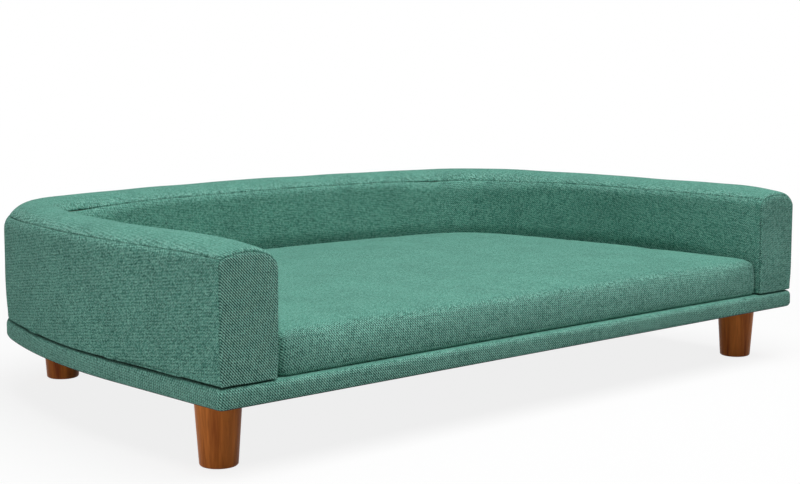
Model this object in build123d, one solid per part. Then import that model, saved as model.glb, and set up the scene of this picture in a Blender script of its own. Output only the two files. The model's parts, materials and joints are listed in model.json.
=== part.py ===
from build123d import *
import math
import os

# A sofa bed for a large dog, in millimetres: a padded U-shaped wall on a low platform with four legs,
# and a loose zipped cushion inside the U. X runs along its width, the open front faces -Y, Z is up.
# The origin is on the floor under the middle of the platform.

# Plan of the wall's outer face: straight from each front, a gentle side arc, a tight rear corner, a bowed
# back
wall_width = 980.0
wall_depth = 637.0
wall_thickness = 73.5
side_arc_radius = 1000.0
side_arc_turn = 17.5
rear_corner_radius = 145.0
back_arc_turn = 13.0

# Thicknesses of the soft layers
fabric_thickness = 1.2
wall_foam_thickness = 8.8
base_wadding_thickness = 3.8
dust_cover_thickness = 0.5

# Platform
leg_height = 73.5
base_board_thickness = 15.0
base_overhang = 3.0
board_edge_radius = 2.5
base_front_corner_radius = 18.0
base_flap_width = 25.0
dust_cover_inset = 12.0
wadding_hem = 4.0

# Wall
wall_board_height = 125.0
wall_crown = 8.7
front_crown = 1.2
crown_fade_length = 80.0
front_edge_radius = 8.0
plate_thickness = 12.0
skin_board_thickness = 3.0
end_board_thickness = 9.0
post_length = 30.0
seam_angle = 45.0

# Legs: turned and tapered, the front ones set in from the wall's outer face, and the rear ones where its
# tight corners meet its bowed back
leg_top_diameter = 48.0
leg_foot_diameter = 40.0
leg_foot_rounding = 3.0
front_leg_inset = 42.0
front_leg_setback = 62.0
rear_leg_inset = 31.2

# Cushion
cushion_gap = 5.0
cushion_setback = 5.0
cushion_clearance = 0.3
cushion_edge_height = 48.0
cushion_crown = 7.0
cushion_edge_rounding = 12.0
cushion_corner_radius = 9.0
cushion_front_draw = 2.5
cushion_side_bulge = 1.2
cushion_foot_rounding = 5.0
top_panel_drop = 9.0
bottom_panel_rise = 5.0

# Zip in the back of the cushion's border
zip_length = 520.0
zip_slot_height = 13.0
zip_tape_width = 10.0
zip_tape_thickness = 0.6
zip_row_gap = 1.6
zip_row_width = 2.0
zip_row_thickness = 1.0
zip_clearance = 0.3
slider_length = 11.0
slider_height = 9.0
slider_plate = 1.0
slider_web = 0.8
pull_length = 24.0
pull_width = 8.0
pull_thickness = 1.0
pull_gap = 0.2
pivot_diameter = 1.2
pivot_clearance = 0.08
lug_thickness = 2.0

# Fasteners
leg_bolt_diameter = 8.0
leg_bolt_depth = 38.0
leg_nut_flange = 22.0
leg_nut_barrel = 10.0
nut_flange_thickness = 1.5
nut_barrel_length = 9.0
wall_bolt_diameter = 6.0
wall_bolt_head = 11.0
wall_bolt_head_height = 3.0
wall_washer_diameter = 15.0
wall_washer_thickness = 1.2
wall_bolt_hole = 6.6
wall_nut_flange = 18.0
wall_nut_barrel = 8.0
bolt_counterbore = 17.0
bolt_counterbore_depth = 5.0
screw_diameter = 4.0
screw_head = 8.0
screw_depth = 30.0
staple_width = 10.0
staple_wire = 0.7
staple_leg = 7.0
staple_pitch = 62.0

# Places along the wall's middle line, as shares of its length from the left arm's front to the right arm's
post_names = (
    "left_front_post",
    "left_middle_post",
    "left_corner_post",
    "back_left_post",
    "back_middle_post",
    "back_right_post",
    "right_corner_post",
    "right_middle_post",
    "right_front_post",
)
post_shares = (0.055, 0.165, 0.293, 0.375, 0.5, 0.625, 0.707, 0.835, 0.945)
bolt_shares = (0.1, 0.235, 0.435, 0.565, 0.765, 0.9)
crown_scale_shares = (0.88, 0.7, 0.48, 0.24)
fade_steps = 4
rounding_steps = 3
# How far a cutting block runs past the face that it cuts
overrun = 1.0

# Heights and places that follow
dust_cover_bottom = leg_height
base_bottom = dust_cover_bottom + dust_cover_thickness
board_bottom = base_bottom + fabric_thickness
board_top = board_bottom + base_board_thickness
wadding_top = board_top + base_wadding_thickness
base_top = wadding_top + fabric_thickness
frame_top = base_top + wall_board_height
wall_edge_radius = fabric_thickness + wall_foam_thickness
frame_half = wall_thickness / 2 - wall_edge_radius
plate_width = 2 * (frame_half - skin_board_thickness)
wall_front = -wall_depth / 2
wall_middle_inset = wall_thickness / 2
cushion_inset = wall_thickness + cushion_gap
cushion_bottom = base_top + cushion_clearance
zip_height = cushion_bottom + cushion_edge_height / 2


def outward(heading):
    """The direction out of the wall, for a heading counted clockwise from +Y."""
    return Vector(-math.cos(math.radians(heading)), math.sin(math.radians(heading)))


def travel(heading):
    return Vector(math.sin(math.radians(heading)), math.cos(math.radians(heading)))


def outer_arcs():
    """Centre, radius, first heading and turn of each arc of the outer face, from left to right."""
    corner_turn = 90 - side_arc_turn - back_arc_turn
    side_reach = side_arc_radius * (1 - math.cos(math.radians(side_arc_turn)))
    corner_reach = rear_corner_radius * (
        math.cos(math.radians(side_arc_turn)) - math.sin(math.radians(back_arc_turn))
    )
    back_radius = (wall_width / 2 - side_reach - corner_reach) / math.sin(math.radians(back_arc_turn))
    turns = (side_arc_turn, corner_turn, 2 * back_arc_turn, corner_turn, side_arc_turn)
    radii = (side_arc_radius, rear_corner_radius, back_radius, rear_corner_radius, side_arc_radius)
    rises = (
        side_arc_radius * math.sin(math.radians(side_arc_turn)),
        rear_corner_radius
        * (math.cos(math.radians(back_arc_turn)) - math.sin(math.radians(side_arc_turn))),
        back_radius * (1 - math.cos(math.radians(back_arc_turn))),
    )
    straight = wall_depth - sum(rises)
    centre = Vector(side_arc_radius - wall_width / 2, wall_front + straight)
    heading = 0
    arcs = []
    for index, (radius, turn) in enumerate(zip(radii, turns)):
        if index:
            centre = centre + outward(heading) * (radii[index - 1] - radius)
        arcs.append((centre, radius, heading, turn))
        heading += turn
    return straight, arcs


side_straight, wall_arcs = outer_arcs()
back_centre, back_radius = wall_arcs[2][0], wall_arcs[2][1]


def plan_face(inset, front_inset, corner, front_draw=0):
    """The closed plan inside the outer face: inset at the sides and back, and its own inset in front."""
    left = inset - wall_width / 2
    front = wall_front + front_inset
    back_of_run = wall_front + side_straight
    edges = [Line((left, front + corner), (left, back_of_run))]
    for centre, radius, heading, turn in wall_arcs:
        edges.append(CenterArc((centre.X, centre.Y), radius - inset, 180 - heading, -turn))
    edges.append(Line((-left, back_of_run), (-left, front + corner)))
    edges.append(CenterArc((-left - corner, front + corner), corner, 0, -90))
    if front_draw:
        ends = ((-left - corner, front), (0, front + front_draw), (left + corner, front))
        edges.append(ThreePointArc(*ends))
    else:
        edges.append(Line((-left - corner, front), (left + corner, front)))
    edges.append(CenterArc((left + corner, front + corner), corner, -90, -90))
    return make_face(edges)


def wall_stretches():
    """Length, centre, radius, heading and first point of each stretch of the wall's middle line."""
    left = wall_middle_inset - wall_width / 2
    stretches = [(side_straight, None, 0, 0, Vector(left, wall_front))]
    for centre, outer_radius, heading, turn in wall_arcs:
        radius = outer_radius - wall_middle_inset
        first = centre + outward(heading) * radius
        stretches.append((math.radians(turn) * radius, centre, radius, heading, first))
    stretches.append((side_straight, None, 0, 180, Vector(-left, wall_front + side_straight)))
    return stretches


wall_length = sum(stretch[0] for stretch in wall_stretches())


def wall_station(distance):
    """The point and the heading at a distance along the wall's middle line."""
    for length, centre, radius, heading, first in wall_stretches():
        if distance <= length:
            break
        distance -= length
    if centre is None:
        return first + travel(heading) * distance, heading
    turned = heading + math.degrees(distance / radius)
    return centre + outward(turned) * radius, turned


def carry(section, start, end):
    """Carry a section, drawn outwards and up, along the wall's middle line from start to end."""
    solids = []
    passed = 0
    for length, centre, radius, heading, first in wall_stretches():
        low = max(start - passed, 0)
        high = min(end - passed, length)
        passed += length
        if high <= low:
            continue
        if centre is None:
            point = first + travel(heading) * low
            face = Plane(origin=point, x_dir=outward(heading), z_dir=travel(heading)) * section
            solids.append(extrude(face, amount=high - low))
        else:
            turned = heading + math.degrees(low / radius)
            point = centre + outward(turned) * radius
            face = Plane(origin=point, x_dir=outward(turned), z_dir=travel(turned)) * section
            spin = Axis((centre.X, centre.Y, 0), (0, 0, -1))
            solids.append(revolve(face, spin, math.degrees((high - low) / radius)))
    joined = solids[0]
    for solid in solids[1:]:
        joined = joined + solid
    return joined


def strip(low, high, inner, outer):
    """A rectangle for carry, between two heights and two distances outwards of the middle line."""
    return Pos((inner + outer) / 2, (low + high) / 2) * Rectangle(outer - inner, high - low)


def crown_edges(depth, crown):
    """The padded top at a depth below its surface: corner arc, crown arc, corner arc, from right to left."""
    drop = (frame_half**2 - crown**2) / (2 * crown)
    crown_radius = wall_edge_radius + math.hypot(frame_half, drop) - depth
    meet = math.degrees(math.atan2(drop, frame_half))
    corner_radius = wall_edge_radius - depth
    return [
        CenterArc((frame_half, frame_top), corner_radius, seam_angle, meet - seam_angle),
        CenterArc((0, frame_top - drop), crown_radius, meet, 180 - 2 * meet),
        CenterArc((-frame_half, frame_top), corner_radius, 180 - meet, meet - seam_angle),
    ]


def corner_point(depth, side=1):
    """The seam's point at a depth below the surface of the wall's padded top corner."""
    reach = wall_edge_radius - depth
    across = frame_half + reach * math.cos(math.radians(seam_angle))
    return (side * across, frame_top + reach * math.sin(math.radians(seam_angle)))


def top_section(crown, foam):
    """The top panel's section, or the section of the foam under it, between the two seams."""
    if foam:
        outer, inner = fabric_thickness, wall_edge_radius
        under = [Line((-frame_half, frame_top), (frame_half, frame_top))]
    else:
        outer, inner = 0, fabric_thickness
        under = crown_edges(inner, crown)
    ends = [
        Line(corner_point(outer, -1), corner_point(inner, -1)),
        Line(corner_point(inner), corner_point(outer)),
    ]
    return make_face(crown_edges(outer, crown) + under + ends)


def side_section(side, foam):
    """The section of a side panel or its foam, from the platform up to the seam."""
    outer, inner = (fabric_thickness, wall_edge_radius) if foam else (0, fabric_thickness)
    first, turn = (0, seam_angle) if side > 0 else (180, -seam_angle)
    outer_face = side * (frame_half + wall_edge_radius - outer)
    inner_face = side * (frame_half + wall_edge_radius - inner)
    centre = (side * frame_half, frame_top)
    edges = [
        Line((outer_face, base_top), (outer_face, frame_top)),
        CenterArc(centre, wall_edge_radius - outer, first, turn),
        Line(corner_point(outer, side), corner_point(inner, side)),
        Line((inner_face, frame_top), (inner_face, base_top)),
        Line((inner_face, base_top), (outer_face, base_top)),
    ]
    if not foam:
        edges.append(CenterArc(centre, wall_edge_radius - inner, first, turn))
    return make_face(edges)


def end_section(depth):
    """The whole section of an arm's front at a depth below its surface."""
    side = frame_half + wall_edge_radius - depth
    reach = wall_edge_radius - depth
    edges = crown_edges(depth, front_crown)
    for sign, first, turn in ((1, 0, seam_angle), (-1, 180, -seam_angle)):
        edges.append(CenterArc((sign * frame_half, frame_top), reach, first, turn))
        edges.append(Line((sign * side, frame_top), (sign * side, base_top)))
    edges.append(Line((-side, base_top), (side, base_top)))
    return make_face(edges)


def front_plane(setback):
    """The plane across the left arm, at a setback from its front, with X outwards and Y up."""
    return Plane(
        origin=(wall_middle_inset - wall_width / 2, wall_front + setback, 0),
        x_dir=outward(0),
        z_dir=travel(0),
    )


def top_layer(foam):
    """The top panel or its foam: carried round the U, and lofted down to a low crown at each front."""
    layer = carry(top_section(wall_crown, foam), crown_fade_length, wall_length - crown_fade_length)
    sections = []
    for step in range(fade_steps + 1):
        share = step / fade_steps
        crown = front_crown + (wall_crown - front_crown) * math.sin(math.pi * share / 2)
        setback = wall_edge_radius + (crown_fade_length - wall_edge_radius) * share
        sections.append(front_plane(setback) * top_section(crown, foam))
    fade = loft(sections, ruled=True)
    return layer + fade + mirror(fade, about=Plane.YZ)


def side_layer(side, foam):
    return carry(side_section(side, foam), wall_edge_radius, wall_length - wall_edge_radius)


def end_piece(section, near, far):
    """A flat piece across the left arm's front, between two setbacks."""
    return extrude(front_plane(near) * section, amount=far - near)


def end_pad(depth):
    """The left arm's padded front at a depth below its surface, rounded at its sides and top."""
    pad = end_piece(end_section(depth), depth, wall_edge_radius)
    rim = pad.faces().sort_by(Axis.Y)[0].edges().filter_by(lambda edge: edge.center().Z > base_top)
    return fillet(rim, front_edge_radius - depth)


def drill(body, places, diameter, low, high):
    """Cut a round hole between two heights at each place."""
    holes = [Pos(x, y, (low + high) / 2) * Cylinder(diameter / 2, high - low) for x, y in places]
    return body.cut(*holes)


def round_stack(places, steps):
    """One turned piece at each place, from (diameter, low, high) steps that meet face to face."""
    solids = []
    for x, y in places:
        turned = None
        for diameter, low, high in steps:
            disc = Pos(x, y, (low + high) / 2) * Cylinder(diameter / 2, high - low)
            turned = disc if turned is None else turned + disc
        solids.append(turned)
    return solids


def leg_places():
    front = wall_front + front_leg_setback
    across = wall_width / 2 - front_leg_inset
    corner_centre, corner_radius, heading, turn = wall_arcs[1]
    rear = corner_centre + outward(heading + turn) * (corner_radius - rear_leg_inset)
    return {
        "front_left_leg": (-across, front),
        "front_right_leg": (across, front),
        "rear_left_leg": (rear.X, rear.Y),
        "rear_right_leg": (-rear.X, rear.Y),
    }


leg_points = list(leg_places().values())
bolt_points = []
for share in bolt_shares:
    point, _ = wall_station(share * wall_length)
    bolt_points.append((point.X, point.Y))
post_points = []
for share in post_shares:
    point, _ = wall_station(share * wall_length)
    post_points.append((point.X, point.Y))


def base_block(inset, bottom, top, edge_radius):
    """The platform's plan as a block with rounded top and bottom edges."""
    corner = base_front_corner_radius - base_overhang - inset
    block = extrude(Pos(0, 0, bottom) * plan_face(inset, inset, corner), amount=top - bottom)
    rims = block.faces().sort_by(Axis.Z)[-1].edges() + block.faces().sort_by(Axis.Z)[0].edges()
    return fillet(rims, edge_radius)


def platform():
    """The board, its wadding, its fabric cover and the dust cover."""
    cover_inset = -base_overhang
    wadding_inset = cover_inset + fabric_thickness
    board_inset = wadding_inset + base_wadding_thickness
    wadding_radius = board_edge_radius + base_wadding_thickness
    cover_radius = wadding_radius + fabric_thickness
    board = base_block(board_inset, board_bottom, board_top, board_edge_radius)
    filled = base_block(wadding_inset, board_bottom, wadding_top, wadding_radius)
    hem = board_bottom + wadding_hem
    below_hem = Pos(0, 0, hem - wall_depth / 2) * Box(2 * wall_width, 2 * wall_depth, wall_depth)
    wadding = filled - below_hem - board
    cover = base_block(cover_inset, base_bottom, base_top, cover_radius) - filled
    opening_inset = cover_inset + base_flap_width
    opening_corner = base_front_corner_radius
    opening = plan_face(opening_inset, opening_inset, opening_corner)
    cover = cover - extrude(Pos(0, 0, dust_cover_bottom) * opening, amount=board_bottom - dust_cover_bottom)
    dust_inset = cover_inset + dust_cover_inset
    dust_plan = plan_face(dust_inset, dust_inset, base_front_corner_radius)
    dust_cover = extrude(Pos(0, 0, dust_cover_bottom) * dust_plan, amount=dust_cover_thickness)
    nut_seat = board_top - nut_flange_thickness
    counterbore_top = board_bottom + bolt_counterbore_depth
    board = drill(board, leg_points, leg_nut_flange, nut_seat, board_top)
    board = drill(board, leg_points, leg_nut_barrel, board_bottom, nut_seat)
    board = drill(board, bolt_points, bolt_counterbore, board_bottom, counterbore_top)
    board = drill(board, bolt_points, wall_bolt_hole, counterbore_top, board_top)
    wadding = drill(wadding, bolt_points, wall_bolt_hole, board_top, wadding_top)
    cover = drill(cover, bolt_points, wall_bolt_hole, wadding_top, base_top)
    cover = drill(cover, leg_points, leg_nut_barrel, base_bottom, board_bottom)
    dust_cover = drill(dust_cover, leg_points, leg_nut_barrel, dust_cover_bottom, base_bottom)
    return {"base_board": board, "base_wadding": wadding, "base_cover": cover, "dust_cover": dust_cover}


def cover_staples():
    """Wire staples through the dust cover and the cover's flap into the board, round the rim."""
    inset = (dust_cover_inset + base_flap_width) / 2 - base_overhang
    rim = plan_face(inset, inset, base_front_corner_radius).wire()
    count = round(rim.length / staple_pitch)
    crown = Pos(0, 0, -staple_wire / 2) * Box(staple_width, staple_wire, staple_wire)
    foot_place = (staple_width - staple_wire) / 2
    foot = Pos(0, 0, staple_leg / 2) * Box(staple_wire, staple_wire, staple_leg)
    staple = crown + Pos(foot_place, 0) * foot + Pos(-foot_place, 0) * foot
    staples = []
    for index in range(count):
        share = (index + 0.5) / count
        point = rim.position_at(share)
        along = rim.tangent_at(share)
        spot = (point.X, point.Y, dust_cover_bottom)
        staples.append(Plane(origin=spot, x_dir=(along.X, along.Y, 0)) * staple)
    return staples


def leg(place):
    """A turned leg: a plain taper with a rounded foot edge and a blind hole for its hanger bolt."""
    taper = Cone(leg_foot_diameter / 2, leg_top_diameter / 2, leg_height)
    taper = fillet(taper.faces().sort_by(Axis.Z)[0].edges(), leg_foot_rounding)
    hole = Pos(0, 0, (leg_height - leg_bolt_depth) / 2) * Cylinder(leg_bolt_diameter / 2, leg_bolt_depth)
    return Pos(place[0], place[1], leg_height / 2) * (taper - hole)


def leg_hardware():
    """A flanged tee nut flush with the board's top, and a hanger bolt from it down into the leg."""
    seat = board_top - nut_flange_thickness
    nuts = round_stack(
        leg_points,
        ((leg_nut_barrel, seat - nut_barrel_length, seat), (leg_nut_flange, seat, board_top)),
    )
    nuts = [drill(nut, leg_points, leg_bolt_diameter, seat - nut_barrel_length, board_top) for nut in nuts]
    bolts = round_stack(leg_points, ((leg_bolt_diameter, leg_height - leg_bolt_depth, board_top),))
    return {"leg_tee_nuts": nuts, "leg_hanger_bolts": bolts}


def wall_hardware():
    """Bolts with washers from a counterbore under the board up to tee nuts on the wall's bottom plate."""
    seat = board_bottom + bolt_counterbore_depth
    head_top = seat - wall_washer_thickness
    plate_top = base_top + plate_thickness
    nut_top = plate_top + nut_flange_thickness
    bolts = round_stack(
        bolt_points,
        (
            (wall_bolt_head, head_top - wall_bolt_head_height, head_top),
            (wall_bolt_diameter, head_top, nut_top),
        ),
    )
    washers = round_stack(bolt_points, ((wall_washer_diameter, head_top, seat),))
    washers = [drill(washer, bolt_points, wall_bolt_hole, head_top, seat) for washer in washers]
    nuts = round_stack(
        bolt_points,
        ((wall_nut_barrel, plate_top - nut_barrel_length, plate_top), (wall_nut_flange, plate_top, nut_top)),
    )
    low = plate_top - nut_barrel_length
    nuts = [drill(nut, bolt_points, wall_bolt_diameter, low, nut_top) for nut in nuts]
    return {"wall_bolts": bolts, "wall_washers": washers, "wall_tee_nuts": nuts}


def wall_frame():
    """Bottom and top plates, posts between them, skin boards on both sides and a board in each front."""
    start = wall_edge_radius + end_board_thickness
    end = wall_length - start
    half = plate_width / 2
    plate_top = base_top + plate_thickness
    plate_under = frame_top - plate_thickness
    bottom_plate = carry(strip(base_top, plate_top, -half, half), start, end)
    top_plate = carry(strip(plate_under, frame_top, -half, half), start, end)
    low = plate_top - nut_barrel_length
    bottom_plate = drill(bottom_plate, bolt_points, wall_nut_barrel, low, plate_top)
    bottom_plate = drill(bottom_plate, bolt_points, wall_bolt_hole, base_top, low)
    bottom_plate = drill(bottom_plate, post_points, screw_diameter, base_top, plate_top)
    bottom_plate = drill(bottom_plate, post_points, screw_head, base_top, base_top + screw_diameter)
    top_plate = drill(top_plate, post_points, screw_diameter, plate_under, frame_top)
    top_plate = drill(top_plate, post_points, screw_head, frame_top - screw_diameter, frame_top)
    nodes = {"wall_bottom_plate": bottom_plate, "wall_top_plate": top_plate}
    for name, share, point in zip(post_names, post_shares, post_points):
        middle = share * wall_length
        section = strip(plate_top, plate_under, -half, half)
        post = carry(section, middle - post_length / 2, middle + post_length / 2)
        post = drill(post, [point], screw_diameter, plate_top, base_top + screw_depth)
        nodes[name] = drill(post, [point], screw_diameter, frame_top - screw_depth, plate_under)
    for name, side in (("outer_skin_board", 1), ("inner_skin_board", -1)):
        faces = sorted((side * half, side * frame_half))
        skin = strip(base_top, frame_top, *faces)
        nodes[name] = carry(skin, wall_edge_radius, wall_length - wall_edge_radius)
    end_board = end_piece(strip(base_top, frame_top, -half, half), wall_edge_radius, start)
    nodes["left_end_board"] = end_board
    nodes["right_end_board"] = mirror(end_board, about=Plane.YZ)
    return nodes


def frame_screws():
    """A countersunk screw up through the bottom plate and one down through the top plate into each post."""
    lower = (
        (screw_head, base_top, base_top + screw_diameter),
        (screw_diameter, base_top + screw_diameter, base_top + screw_depth),
    )
    upper = (
        (screw_diameter, frame_top - screw_depth, frame_top - screw_diameter),
        (screw_head, frame_top - screw_diameter, frame_top),
    )
    return round_stack(post_points, lower) + round_stack(post_points, upper)


def wall_padding():
    """Foam on the outer, inner and top faces of the wall and on the two arm fronts."""
    end_foam = end_pad(fabric_thickness)
    return {
        "outer_wall_foam": side_layer(1, True),
        "inner_wall_foam": side_layer(-1, True),
        "top_wall_foam": top_layer(True),
        "left_end_foam": end_foam,
        "right_end_foam": mirror(end_foam, about=Plane.YZ),
    }


def wall_covers():
    """Fabric panels that meet at the seams, with a panel round each arm's front."""
    end_cover = end_pad(0) - end_pad(fabric_thickness)
    return {
        "outer_wall_cover": side_layer(1, False),
        "inner_wall_cover": side_layer(-1, False),
        "top_wall_cover": top_layer(False),
        "left_end_cover": end_cover,
        "right_end_cover": mirror(end_cover, about=Plane.YZ),
    }


def cushion_outline(inset, height, share=1):
    """The cushion's plan at an inset and a height, drawn in across the front, or a share of that plan."""
    face = plan_face(
        cushion_inset + inset,
        cushion_setback + inset,
        cushion_corner_radius,
        cushion_front_draw,
    )
    middle = (cushion_setback + wall_depth - cushion_inset) / 2 + wall_front
    centred = Pos(0, -middle) * face
    return Pos(0, middle, height) * scale(centred, share)


def cushion_form(depth):
    """The cushion's swollen form at a depth below its surface, lofted up through its plans."""
    bottom = cushion_bottom + depth
    foot = cushion_bottom + cushion_foot_rounding
    shoulder = cushion_bottom + cushion_edge_height - cushion_edge_rounding
    rounding = cushion_edge_rounding - depth
    middle = (foot + shoulder) / 2
    outlines = [
        cushion_outline(cushion_foot_rounding, bottom),
        cushion_outline(depth + cushion_side_bulge, foot),
        cushion_outline(depth, middle),
        cushion_outline(depth + cushion_side_bulge, shoulder),
    ]
    for step in range(1, rounding_steps + 1):
        angle = math.radians(90 * step / rounding_steps)
        inset = depth + cushion_side_bulge + rounding * (1 - math.cos(angle))
        outlines.append(cushion_outline(inset, shoulder + rounding * math.sin(angle)))
    rim_inset = depth + cushion_side_bulge + rounding
    for share in crown_scale_shares:
        rise = cushion_crown * (1 - share**2)
        outlines.append(cushion_outline(rim_inset, shoulder + rounding + rise, share))
    return loft(outlines, ruled=True)


def back_band(near, far, low, high, half_length, middle=0):
    """A block that follows the cushion's curved back, between two distances inside its face."""
    face_radius = back_radius - cushion_inset
    radius = face_radius - (near + far) / 2
    angle = math.degrees(half_length / face_radius)
    turn = math.degrees(middle / face_radius)
    section = Plane.YZ * Pos(back_centre.Y + radius, (low + high) / 2) * Rectangle(far - near, high - low)
    spin = Axis((back_centre.X, back_centre.Y, 0), (0, 0, -1))
    return revolve(section.rotate(spin, turn - angle), spin, 2 * angle)


def slab(low, high):
    """A block that holds everything of the cushion between two heights."""
    return Pos(0, 0, (low + high) / 2) * Box(2 * wall_width, 2 * wall_depth, high - low)


def cushion():
    """The foam with its groove behind the zip, and its cover in three panels."""
    tape_inside = cushion_side_bulge + fabric_thickness + zip_tape_thickness
    groove_depth = tape_inside + 2 * zip_clearance + slider_plate
    half = zip_length / 2 + slider_length
    groove_low = zip_height - zip_slot_height / 2 - zip_tape_width / 2
    groove_high = zip_height + zip_slot_height / 2 + zip_tape_width / 2
    groove = back_band(0, groove_depth, groove_low, groove_high, half)
    slot_low = zip_height - zip_slot_height / 2
    slot = back_band(-overrun, groove_depth, slot_low, slot_low + zip_slot_height, half)
    outer = cushion_form(0)
    core = cushion_form(fabric_thickness)
    shell = outer - core
    seam_low = cushion_bottom + bottom_panel_rise
    seam_high = cushion_bottom + cushion_edge_height - top_panel_drop
    top = cushion_bottom + cushion_edge_height + cushion_crown
    return {
        "cushion_foam": core - groove,
        "cushion_bottom_cover": shell & slab(cushion_bottom, seam_low),
        "cushion_border": (shell & slab(seam_low, seam_high)) - slot,
        "cushion_top_cover": shell & slab(seam_high, top),
    }


def zip_fastener():
    """Two tapes behind the border's slot, a row of teeth on each, and the slider with its pull."""
    half = zip_length / 2
    tape_near = cushion_side_bulge + fabric_thickness
    tape_far = tape_near + zip_tape_thickness
    row_near = tape_near - zip_row_thickness
    nodes = {}
    rows = []
    for name, sign in (("upper_zip_tape", 1), ("lower_zip_tape", -1)):
        edge = zip_height + sign * zip_row_gap / 2
        tape = sorted((edge, edge + sign * zip_tape_width))
        row = sorted((edge, edge + sign * zip_row_width))
        nodes[name] = back_band(tape_near, tape_far, *tape, half)
        rows.append(back_band(row_near, tape_near, *row, half))
    nodes["zip_teeth"] = rows
    outer_near = row_near - zip_clearance - slider_plate
    inner_near = tape_far + zip_clearance
    place = slider_length - half

    def block(near, far, height, length):
        return back_band(near, far, zip_height - height / 2, zip_height + height / 2, length / 2, place)

    lug_length = pull_width - 2 * (pull_thickness + pull_gap)
    slider = block(outer_near, outer_near + slider_plate, slider_height, slider_length)
    slider = slider + block(inner_near, inner_near + slider_plate, slider_height, slider_length)
    slider = slider + block(outer_near + slider_plate, inner_near, slider_web, slider_length / 2)
    slider = slider + block(outer_near - lug_thickness, outer_near, 2 * lug_thickness, lug_length)
    pivot, along = back_pivot(outer_near - lug_thickness / 2, place)
    nodes["zip_slider"] = slider - along * Cylinder(pivot_diameter / 2 + pivot_clearance, pull_width)
    nodes["zip_pull"] = zip_pull(along)
    return nodes, pivot


def back_pivot(inset, middle):
    """The point of the pull's pivot, and a plane whose normal runs along the cushion's back there."""
    radius = back_radius - cushion_inset - inset
    turn = middle / (back_radius - cushion_inset)
    point = Vector(
        back_centre.X + radius * math.sin(turn), back_centre.Y + radius * math.cos(turn), zip_height
    )
    return point, Plane(origin=point, x_dir=(0, 0, 1), z_dir=(math.cos(turn), -math.sin(turn), 0))


def zip_pull(along):
    """A flat tab with two ears and a pin that passes through the slider's lug."""
    pull = Cylinder(pivot_diameter / 2, pull_width)
    ear_length = lug_thickness + 2 * pull_gap + pull_thickness
    ear = Pos((pull_thickness - ear_length) / 2) * Box(ear_length, pull_thickness, pull_thickness)
    ear_place = (pull_width - pull_thickness) / 2
    for place in (ear_place, -ear_place):
        pull = pull + Pos(0, 0, place) * ear
    tab_length = pull_length - lug_thickness
    tab_middle = lug_thickness + pull_gap + tab_length / 2
    return along * (pull + Pos(-tab_middle) * Box(tab_length, pull_thickness, pull_width))


def main():
    nodes = platform()
    nodes["cover_staples"] = cover_staples()
    for name, place in leg_places().items():
        nodes[name] = leg(place)
    nodes.update(leg_hardware())
    nodes.update(wall_hardware())
    nodes.update(wall_frame())
    nodes["frame_screws"] = frame_screws()
    nodes.update(wall_padding())
    nodes.update(wall_covers())
    nodes.update(cushion())
    zip_nodes, pivot = zip_fastener()
    nodes.update(zip_nodes)
    os.makedirs("parts", exist_ok=True)
    for name, shape in nodes.items():
        shapes = shape if isinstance(shape, list) else [shape]
        solids = [solid for member in shapes for solid in member.solids()]
        export_step(Compound(children=solids), f"parts/{name}.step")
    print("wall straight", round(side_straight, 3), "back centre", back_centre, "back radius", back_radius)
    print("zip pull pivot", pivot, "wall length", wall_length)


main()
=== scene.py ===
"""Looks of a dog sofa bed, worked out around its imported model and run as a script.

Lengths are in metres, in the model's frame: X along the width, the open front faces -Y, Z is up, and the
origin is on the floor under the middle of the platform.
"""
import json
import math

import bmesh
import bpy
import numpy as np
from mathutils import Matrix, Vector


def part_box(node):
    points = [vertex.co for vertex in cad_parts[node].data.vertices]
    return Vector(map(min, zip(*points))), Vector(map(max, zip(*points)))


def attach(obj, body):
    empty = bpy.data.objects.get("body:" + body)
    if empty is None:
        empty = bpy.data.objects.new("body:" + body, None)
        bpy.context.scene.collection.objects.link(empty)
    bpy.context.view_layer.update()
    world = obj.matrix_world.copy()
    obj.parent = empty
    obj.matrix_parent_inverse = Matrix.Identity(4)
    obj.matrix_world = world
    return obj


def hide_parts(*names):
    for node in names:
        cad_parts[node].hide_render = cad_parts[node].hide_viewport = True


bl_info = {
    "name": "Dog Sofa Bed",
    "version": (1, 0, 0),
    "blender": (4, 5, 0),
    "location": "View3D > Sidebar > Sofa Bed",
    "description": "Dresses the frame of a dog sofa bed in padded fabric panels, turned legs "
                   "and a soft cushion",
    "category": "Add Mesh",
}

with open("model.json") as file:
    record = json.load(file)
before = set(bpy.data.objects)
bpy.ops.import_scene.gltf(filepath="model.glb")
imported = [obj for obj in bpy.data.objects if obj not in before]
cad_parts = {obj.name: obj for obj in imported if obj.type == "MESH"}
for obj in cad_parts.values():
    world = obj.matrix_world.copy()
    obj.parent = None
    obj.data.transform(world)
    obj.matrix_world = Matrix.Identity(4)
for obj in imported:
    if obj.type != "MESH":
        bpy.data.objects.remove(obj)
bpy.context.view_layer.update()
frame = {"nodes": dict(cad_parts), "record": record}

# Heights and reaches that the frame gives
WALL_HALF_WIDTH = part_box("outer_wall_cover")[1].x
WALL_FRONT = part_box("left_end_cover")[0].y
FRAME_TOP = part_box("outer_skin_board")[1].z
BASE_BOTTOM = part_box("base_cover")[0].z
BASE_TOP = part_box("base_cover")[1].z
CUSHION_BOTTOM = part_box("cushion_bottom_cover")[0].z
LEG_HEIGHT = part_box("front_left_leg")[1].z

# Plan of the wall's outer face
SIDE_ARC_RADIUS = 1.0
SIDE_ARC_TURN = math.radians(17.5)
REAR_CORNER_RADIUS = 0.145
BACK_ARC_TURN = math.radians(13.0)
WALL_THICKNESS = 0.0755

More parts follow.
